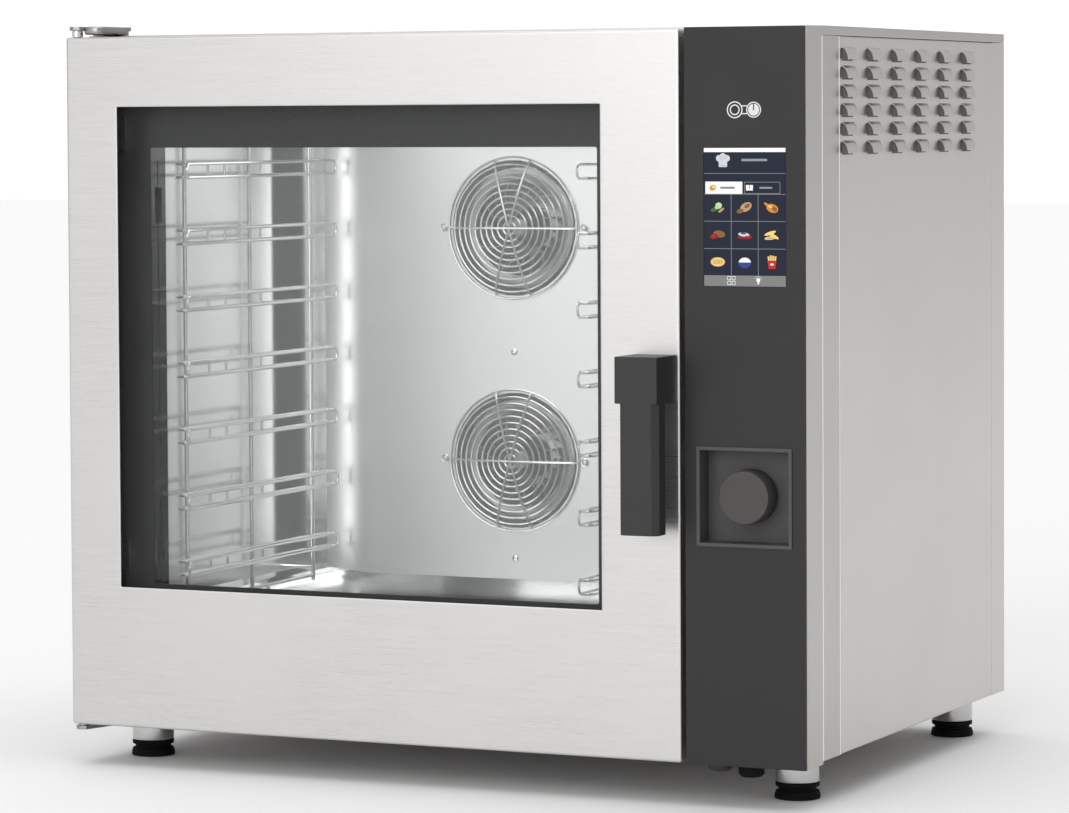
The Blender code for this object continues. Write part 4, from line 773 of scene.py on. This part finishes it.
def build_fans():
    """Each fan behind a guard of round rings on a shallow dish, crossed by three wires and held
    by two screwed eyes; the wheel has curved blades between a back disc and a front hoop."""
    for place in ("upper", "lower"):
        guard, wheel, body = f"fan_guard_{place}", f"fan_impeller_{place}", f"fan_{place}"
        centre = (span(guard, X).mean(), span(guard, Z).mean())
        rim = np.ptp(span(guard, X)) / 2 - GUARD_WIRE
        face = span(guard, Y)[1] - GUARD_WIRE

        def rise(r):
            """How far the dish stands out at a distance from its middle."""
            return GUARD_DISH * (1 - np.clip(abs(r) / rim, 0, 1) ** 2.6)
        wires = [tube(circle_path(centre, r, face - rise(r), 64), GUARD_WIRE, (0, 1, 0), 7, True)
                 for r in list(np.arange(GUARD_STEP, rim - 0.5 * GUARD_STEP, GUARD_STEP)) + [rim]]
        for turn in CROSSINGS:
            a = math.radians(turn)
            r = np.linspace(-rim, rim, 33)
            path = placed(Y, face - rise(r) - 1.6 * GUARD_WIRE * (abs(r) < rim * 0.97),
                          centre[0] + r * math.cos(a), centre[1] + r * math.sin(a))
            wires.append(tube(path, GUARD_WIRE * 1.05, (0, 1, 0), 7))
        for side in (-1, 1):
            eye = (centre[0] + side * EYE_AT, centre[1])
            wires.append(tube(circle_path(eye, EYE_R, face, 20), GUARD_WIRE, (0, 1, 0), 7, True))
            wires.append(screw_head(eye, face - 0.0002, -1, 0.0032))
        piece(f"guard_{place}", joined(wires), "wire", replaces=[guard])

        middle = (span(wheel, X).mean(), span(wheel, Z).mean())
        reach = np.ptp(span(wheel, X)) / 2
        front, back = span(wheel, Y)
        disc = front + WHEEL_DEPTH
        hub = eased([(front, 0.0), (front, 0.011), (front + 0.016, 0.017), (disc - 0.006, 0.024),
                     (disc, reach - 0.001), (disc + 0.0020, reach), (disc + 0.0020, 0.010),
                     (back, 0.010), (back, 0.0)], 0.002)
        hoop_steps = ((0.0035, 0.016), (0.0022, 0.008), (0.0030, 0.0005), (0.0045, 0.0005),
                      (0.0048, 0.016), (0.0035, 0.016))
        rim_hoop = eased([(front + level, reach - inset) for level, inset in hoop_steps], 0.0006)
        blades = []
        for k in range(BLADES):
            share = np.linspace(0, 1, 7)
            radius = BLADE_START + (reach - BLADE_START - 0.0005) * share
            bend = k * TURN / BLADES - BLADE_SWEEP * share ** 1.3
            u = middle[0] + radius * np.cos(bend)
            v = middle[1] + radius * np.sin(bend)
            du, dv = -np.sin(bend) * BLADE_HALF, np.cos(bend) * BLADE_HALF
            outline = (np.concatenate([u + du, (u - du)[::-1]]),
                       np.concatenate([v + dv, (v - dv)[::-1]]))
            blades.append(lofted([placed(Y, level, *outline)
                                  for level in (front + 0.0042, disc + 0.0005)]))
        turned_parts = [lofted(circle_rings(Y, middle, hub, 48)),
                        lofted(circle_rings(Y, middle, rim_hoop[:-1], 48), ring=True)]
        piece(f"wheel_{place}", joined(turned_parts + blades), "wheel", body, [wheel])

    face = span("fan_baffle", Y)[0]
    upper, lower = (span(f"fan_guard_{place}", Z).mean() for place in ("upper", "lower"))
    x = span("fan_guard_upper", X).mean()
    spots = [(x, (upper + lower) / 2 - 0.009), (x, lower - 0.120)]
    heads = joined([screw_head(spot, face, -1, 0.0048) for spot in spots])
    piece("baffle_screws", heads, "bright")
    softened("fan_baffle", "baffle", 0.0005)


RAIL_TOP, RAIL_PITCH, RAIL_SPREAD, RAIL_LEVELS = 0.0425, 0.0778, 0.0157, 7
RAIL_WIRE, POST_WIRE, ARM = 0.0018, 0.0026, 0.020
POST_IN, TIE_IN, BRACKET_IN = 0.030, 0.006, 0.010
LINK_FROM_FRONT, LINK_PAST_MIDDLE, LINK_FROM_REAR = (0.079, 0.120), 0.020, 0.050
RAIL_BEND = 0.0060


def build_racks():
    """Two wire ladders: three posts and two ties a side, and at each level a pair of long narrow
    hoops, one over the other, joined at their ends and by short upright links."""
    for side, inward in (("left", 1), ("right", -1)):
        node = f"rack_{side}"
        x, y, z = (span(node, axis) for axis in (X, Y, Z))
        wall, rail_x = (x[0], x[1] - RAIL_WIRE) if inward > 0 else (x[1], x[0] + RAIL_WIRE)
        post_x = rail_x - inward * ARM
        posts_y = (y[0] + POST_IN + RAIL_WIRE, y.mean(), y[1] - POST_IN - RAIL_WIRE)
        wires = []
        for post in posts_y:
            wires.append(tube([(post_x, post, z[0]), (post_x, post, z[1])], POST_WIRE, (0, 1, 0), 12))
        ties_z = grown(z, -TIE_IN)
        for level in ties_z:
            tie = [(post_x, posts_y[0] - 0.002, level), (post_x, posts_y[2] + 0.002, level)]
            wires.append(tube(tie, POST_WIRE * 0.8, (0, 0, 1), 10))
        for post in posts_y[::2]:
            for level in grown(ties_z, -BRACKET_IN):
                bracket = [(post_x, post, level), (wall, post, level)]
                wires.append(tube(bracket, POST_WIRE, (0, 0, 1), 10))
        near = post_x + inward * (POST_WIRE + RAIL_WIRE * 0.7)
        across = np.array(sorted((near, rail_x)))
        along = grown(y, -RAIL_WIRE)
        links_y = (*(along[0] + np.array(LINK_FROM_FRONT)), y.mean() + LINK_PAST_MIDDLE,
                   along[1] - LINK_FROM_REAR)
        for level in range(RAIL_LEVELS):
            upper = z[1] - RAIL_TOP - level * RAIL_PITCH
            lower = upper - RAIL_SPREAD
            for height in (upper, lower):
                u, v = round_rect(across, along, RAIL_BEND, 6)
                wires.append(tube(placed(Z, height, u, v), RAIL_WIRE, (0, 0, 1), 8, True))
            for end, way in zip(grown(along, -RAIL_BEND), (-1, 1)):
                t = np.linspace(-math.pi / 2, math.pi / 2, 9)
                middle = (upper + lower) / 2
                path = placed(X, rail_x, end + way * RAIL_BEND * np.cos(t),
                              middle + RAIL_SPREAD / 2 * np.sin(t))
                wires.append(tube(path, RAIL_WIRE * 0.9, (1, 0, 0), 8))
            for at in links_y:
                link = [(near, at, upper), (near, at, lower)]
                wires.append(tube(link, RAIL_WIRE * 0.9, (0, 1, 0), 8))
        piece(f"wire_rack_{side}", joined(wires), "wire", replaces=[node])


# ---- control column ----
SCREEN_W, SCREEN_H = 0.095, 0.150
ICON_RISE = 0.00004             # from one printed layer to the next
CHIP = 0.0001                   # how thick the flat marks are
MARK_RISE, MARK_HALF = 0.0350, 0.0110


def turned(u, v, cx, cz, degrees):
    """An outline turned by an angle about its origin, and moved."""
    a = math.radians(degrees)
    return cx + u * math.cos(a) - v * math.sin(a), cz + u * math.sin(a) + v * math.cos(a)


def oval(cx, cz, rx, rz, turn=0.0, count=30):
    """A turned ellipse, its half axes rx and rz."""
    t = np.arange(count) * TURN / count
    return turned(rx * np.cos(t), rz * np.sin(t), cx, cz, turn)


def tile(cx, cz, w, h, corner=0.0004, turn=0.0):
    """A turned rectangle with round corners."""
    return turned(*round_rect((-w / 2, w / 2), (-h / 2, h / 2), corner, 4), cx, cz, turn)


def chip(outline, level):
    """A thin flat shape on the column's front, its front at a level."""
    return lofted([placed(Y, lev, *outline) for lev in (level, level + CHIP)])


def band(width, level):
    """The four edges of a thin flat frame, each as (inset, level)."""
    return (0, level), (0, level + CHIP), (width, level + CHIP), (width, level)


def hoop(cx, cz, radius, width, level):
    """A flat ring between two radii."""
    t = np.arange(48) * TURN / 48
    rows = [placed(Y, lev, cx + (radius - inset) * np.cos(t), cz + (radius - inset) * np.sin(t))
            for inset, lev in band(width, level)]
    return lofted(np.stack(rows, axis=1), ring=True)


def frame_of(cx, cz, w, h, width, level):
    """A flat rectangular outline."""
    return lofted([placed(Y, lev, *tile(cx, cz, w - 2 * inset, h - 2 * inset, 0.0002))
                   for inset, lev in band(width, level)], ring=True)


MM = 0.001
FOOD = {    # by column and row, ovals: colour, across, up, half axes, turn, layer
    (0, 0): (("green", -3.5, -1.8, 4.8, 2.2, 20, 3), ("leaf", 1.2, 2.2, 3.8, 3.4, 0, 4),
             ("leaf", -1.0, 0.4, 2.2, 2.0, 0, 4), ("tan", 4.2, -2.8, 4.0, 1.4, 35, 5)),
    (1, 0): (("tan", 1.5, 0.8, 7.2, 4.6, 28, 3), ("brown", -5.2, -3.6, 4.2, 2.4, 12, 4),
             ("brown", 3.0, 2.0, 3.6, 2.0, 28, 4)),
    (2, 0): (("orange", 0.5, -0.5, 7.0, 4.6, -18, 3), ("orange", -6.2, 3.6, 3.4, 1.4, -35, 4),
             ("brown", 3.0, -1.2, 3.4, 2.2, -40, 4), ("yellow", -1.8, 1.2, 2.6, 1.2, -18, 5)),
    (0, 1): (("brown", 1.8, 1.0, 7.0, 3.8, -8, 3), ("maroon", -4.2, -1.6, 4.6, 3.0, 10, 4),
             ("red", -4.6, -1.4, 2.2, 1.5, 10, 5)),
    (1, 1): (("maroon", 0, -2.2, 8.8, 2.2, 0, 3), ("silver", -1.0, 0.6, 6.6, 2.2, -6, 4),
             ("blue", -1.6, 1.8, 3.4, 1.0, -6, 5), ("red", 3.4, -1.6, 3.0, 1.0, 0, 5)),
    (2, 1): (("yellow", -2.0, 2.2, 7.0, 1.8, 18, 3), ("yellow", 1.6, -0.6, 7.0, 1.8, -28, 4),
             ("yellow", -1.6, -3.0, 7.0, 1.8, 6, 5), ("tan", -1.6, -3.1, 5.0, 0.7, 6, 6)),
    (0, 2): (("tan", 0, 0, 8.6, 5.2, 0, 3), ("yellow", 0, 0, 7.7, 4.5, 0, 4)),
}


def build_screen():
    """A plain cooking screen: white status line, header with a cook's hat, two tabs, nine food
    pictures on a grid and a grey foot bar. No words."""
    x, z = span("display_module", X).mean(), span("display_module", Z).mean()
    front = span("display_module", Y)[0] - 0.00005
    w, h = SCREEN_W, SCREEN_H

    def at(share_x, share_z):
        """A place on the screen by its shares from the left and from the top."""
        return x - w / 2 + share_x * w, z + h / 2 - share_z * h
    flat = {colour: [] for colour in (
        "night", "white", "grey", "line", "green", "leaf", "tan", "brown", "orange", "red",
        "maroon", "yellow", "blue", "silver")}

    def put(colour, outline, layer):
        """A flat shape in a colour, lying over the layers below."""
        flat[colour].append(chip(outline, front - ICON_RISE * layer))
    put("night", tile(x, z, w, h, 0.0008), 1)
    put("white", tile(*at(0.5, 0.016), w, h * 0.030), 2)
    put("grey", tile(*at(0.5, 0.960), w, h * 0.078), 2)
    for share in (0.185, 0.335, 0.530, 0.728):
        put("line", tile(*at(0.5, share), w, 0.0005, 0.0001), 2)
    for share in (0.335, 0.665):
        put("line", tile(*at(share, 0.630), 0.0005, h * 0.585, 0.0001), 2)
    hat = at(0.235, 0.088)
    for dx, dz, r in ((-0.0045, 0.0018, 0.0036), (0.0, 0.0034, 0.0040), (0.0045, 0.0018, 0.0036)):
        put("silver", oval(hat[0] + dx, hat[1] + dz, r, r), 3)
    put("silver", tile(hat[0], hat[1] - 0.0040, 0.0098, 0.0072, 0.0008), 4)
    put("line", tile(hat[0], hat[1] - 0.0062, 0.0092, 0.0005, 0.0001), 5)
    put("line", tile(*at(0.62, 0.088), 0.030, 0.0026, 0.0010), 3)
    put("white", tile(*at(0.245, 0.288), w * 0.455, h * 0.088), 3)
    flat["line"].append(frame_of(*at(0.715, 0.288), w * 0.44, h * 0.085, 0.0005, front - 3 * ICON_RISE))
    pan = at(0.11, 0.288)
    put("orange", oval(pan[0], pan[1], 0.0040, 0.0030, 25), 4)
    put("yellow", oval(pan[0] + 0.0012, pan[1] + 0.0010, 0.0022, 0.0016, 25), 5)
    put("grey", tile(*at(0.29, 0.288), 0.017, 0.0022, 0.0009), 4)
    book = at(0.56, 0.288)
    for dx in (-0.0021, 0.0021):
        put("white", tile(book[0] + dx, book[1], 0.0038, 0.0060, 0.0003, -4 * dx / 0.0021), 4)
    put("red", tile(book[0], book[1] + 0.0008, 0.0008, 0.0040, 0.0002), 5)
    put("line", tile(*at(0.76, 0.288), 0.015, 0.0020, 0.0008), 4)

    columns, rows = (0.168, 0.500, 0.833), (0.432, 0.629, 0.824)
    for (column, row), blobs in FOOD.items():
        c = at(columns[column], rows[row])
        for colour, dx, dz, rx, rz, turn, layer in blobs:
            put(colour, oval(c[0] + dx * MM, c[1] + dz * MM, rx * MM, rz * MM, turn), layer)
    for dx in (-0.0045, -0.0015, 0.0015, 0.0045):
        for turn in (24, -34):
            put("brown", tile(c[0] + dx, c[1], 0.0005, 0.0078 - abs(dx) * 0.7, 0.0001, turn), 5)
    c = at(columns[1], rows[2])
    t = np.linspace(math.pi, TURN, 16)
    put("blue", (c[0] + 0.0074 * np.cos(t), c[1] - 0.0004 + 0.0062 * np.sin(t)), 3)
    t = np.linspace(0, math.pi, 16)
    put("white", (c[0] + 0.0070 * np.cos(t), c[1] - 0.0003 + 0.0052 * np.sin(t)), 3)
    c = at(columns[2], rows[2])
    for dx, dz in ((-0.0038, 0.0034), (-0.0014, 0.0046), (0.0012, 0.0042), (0.0038, 0.0036)):
        put("yellow", tile(c[0] + dx, c[1] + dz, 0.0019, 0.0060, 0.0003, -dx * 2500), 3)
    put("red", (np.array([-0.0050, 0.0050, 0.0040, -0.0040]) + c[0],
                np.array([0.0020, 0.0020, -0.0070, -0.0070]) + c[1]), 4)
    put("white", oval(c[0], c[1] - 0.0022, 0.0022, 0.0012), 5)
    c = at(0.335, 0.958)
    for dx in (-0.0026, 0.0026):
        for dz in (-0.0026, 0.0026):
            square = frame_of(c[0] + dx, c[1] + dz, 0.0042, 0.0042, 0.0005, front - 3 * ICON_RISE)
            flat["white"].append(square)
    c = at(0.665, 0.958)
    put("white", oval(c[0], c[1] + 0.0006, 0.0022, 0.0024), 3)
    put("white", tile(c[0], c[1] - 0.0028, 0.0020, 0.0016, 0.0003), 3)
    for k in range(5):
        a = math.radians(30 + 30 * k)
        ray = (c[0] + 0.0040 * math.cos(a), c[1] + 0.0006 + 0.0040 * math.sin(a))
        put("white", tile(*ray, 0.0005, 0.0013, 0.0001, 30 * k - 60), 3)
    for colour, parts in flat.items():
        piece(f"screen_{colour}", joined(parts), f"screen_{colour}")


KNOB_HEAD, KNOB_STEM = 0.026, 0.0085    # the head's depth, and the stem's radius


def build_column():
    """The black column's folded face, the knob's tray with its raised rim, the round knob, and the
    touch mark over the screen: two rings joined by bars, the right one a lit disc."""
    softened("control_fascia", "panel", 0.0005)
    softened("control_housing", "lip", 0.0014, "cabinet", 3)
    softened("knob_cup", "cup", 0.0009, "cabinet", 3)
    flank = span("control_housing", X)[1]
    depth, tall = grown(span("control_housing", Y), -0.0010), grown(span("top_cover", Z), -0.0006)
    lip = pillow(X, depth, tall, (flank - 0.0003, flank + 0.0003), 0.0008, 0.0002, 3, 2)
    piece("column_lip", lip, "lip")
    x, y, z = (span("knob", axis) for axis in (X, Y, Z))
    radius = np.ptp(x) / 2
    stem = y[0] + KNOB_HEAD
    profile = eased([(y[0] + 0.0004, 0.0), (y[0] + 0.0003, radius * 0.6), (y[0], radius - 0.0010),
                     (y[0] + 0.012, radius), (stem, radius), (stem, KNOB_STEM), (y[1], KNOB_STEM),
                     (y[1], 0.0)], 0.0012, 5)
    skin = lofted(circle_rings(Y, (x.mean(), z.mean()), profile, 96))
    piece("round_knob", skin, "knob", "knob", ["knob"])

    face = span("control_fascia", Y)[0]
    at_x = span("display_module", X).mean()
    at_z = span("display_module", Z)[1] + MARK_RISE
    level = face - 0.00012
    left, right = at_x - MARK_HALF, at_x + MARK_HALF
    marks = [hoop(left, at_z, 0.0092, 0.0013, level), hoop(left, at_z, 0.0058, 0.0013, level),
             hoop(right, at_z, 0.0086, 0.0012, level),
             chip(oval(right, at_z, 0.0064, 0.0064, 0, 48), level)]
    marks += [chip(tile(at_x + 0.0002, at_z + side * 0.0042, 0.0060, 0.0012, 0.0003), level)
              for side in (-1, 1)]
    piece("touch_mark", joined(marks), "mark")
    dark = [chip(tile(right, at_z + 0.0034, 0.0013, 0.0078, 0.0003), level - 0.00008)]
    piece("touch_mark_bar", joined(dark), "print")
    build_screen()
    softened("probe_socket", "plastic", 0.0006)
    softened("usb_cap", "rubber", 0.0006, "usb_cover")


set_camera()
set_studio()
build_door()
build_handle()
build_hinges()
build_cabinet()
build_feet()
build_fans()
build_racks()
build_column()
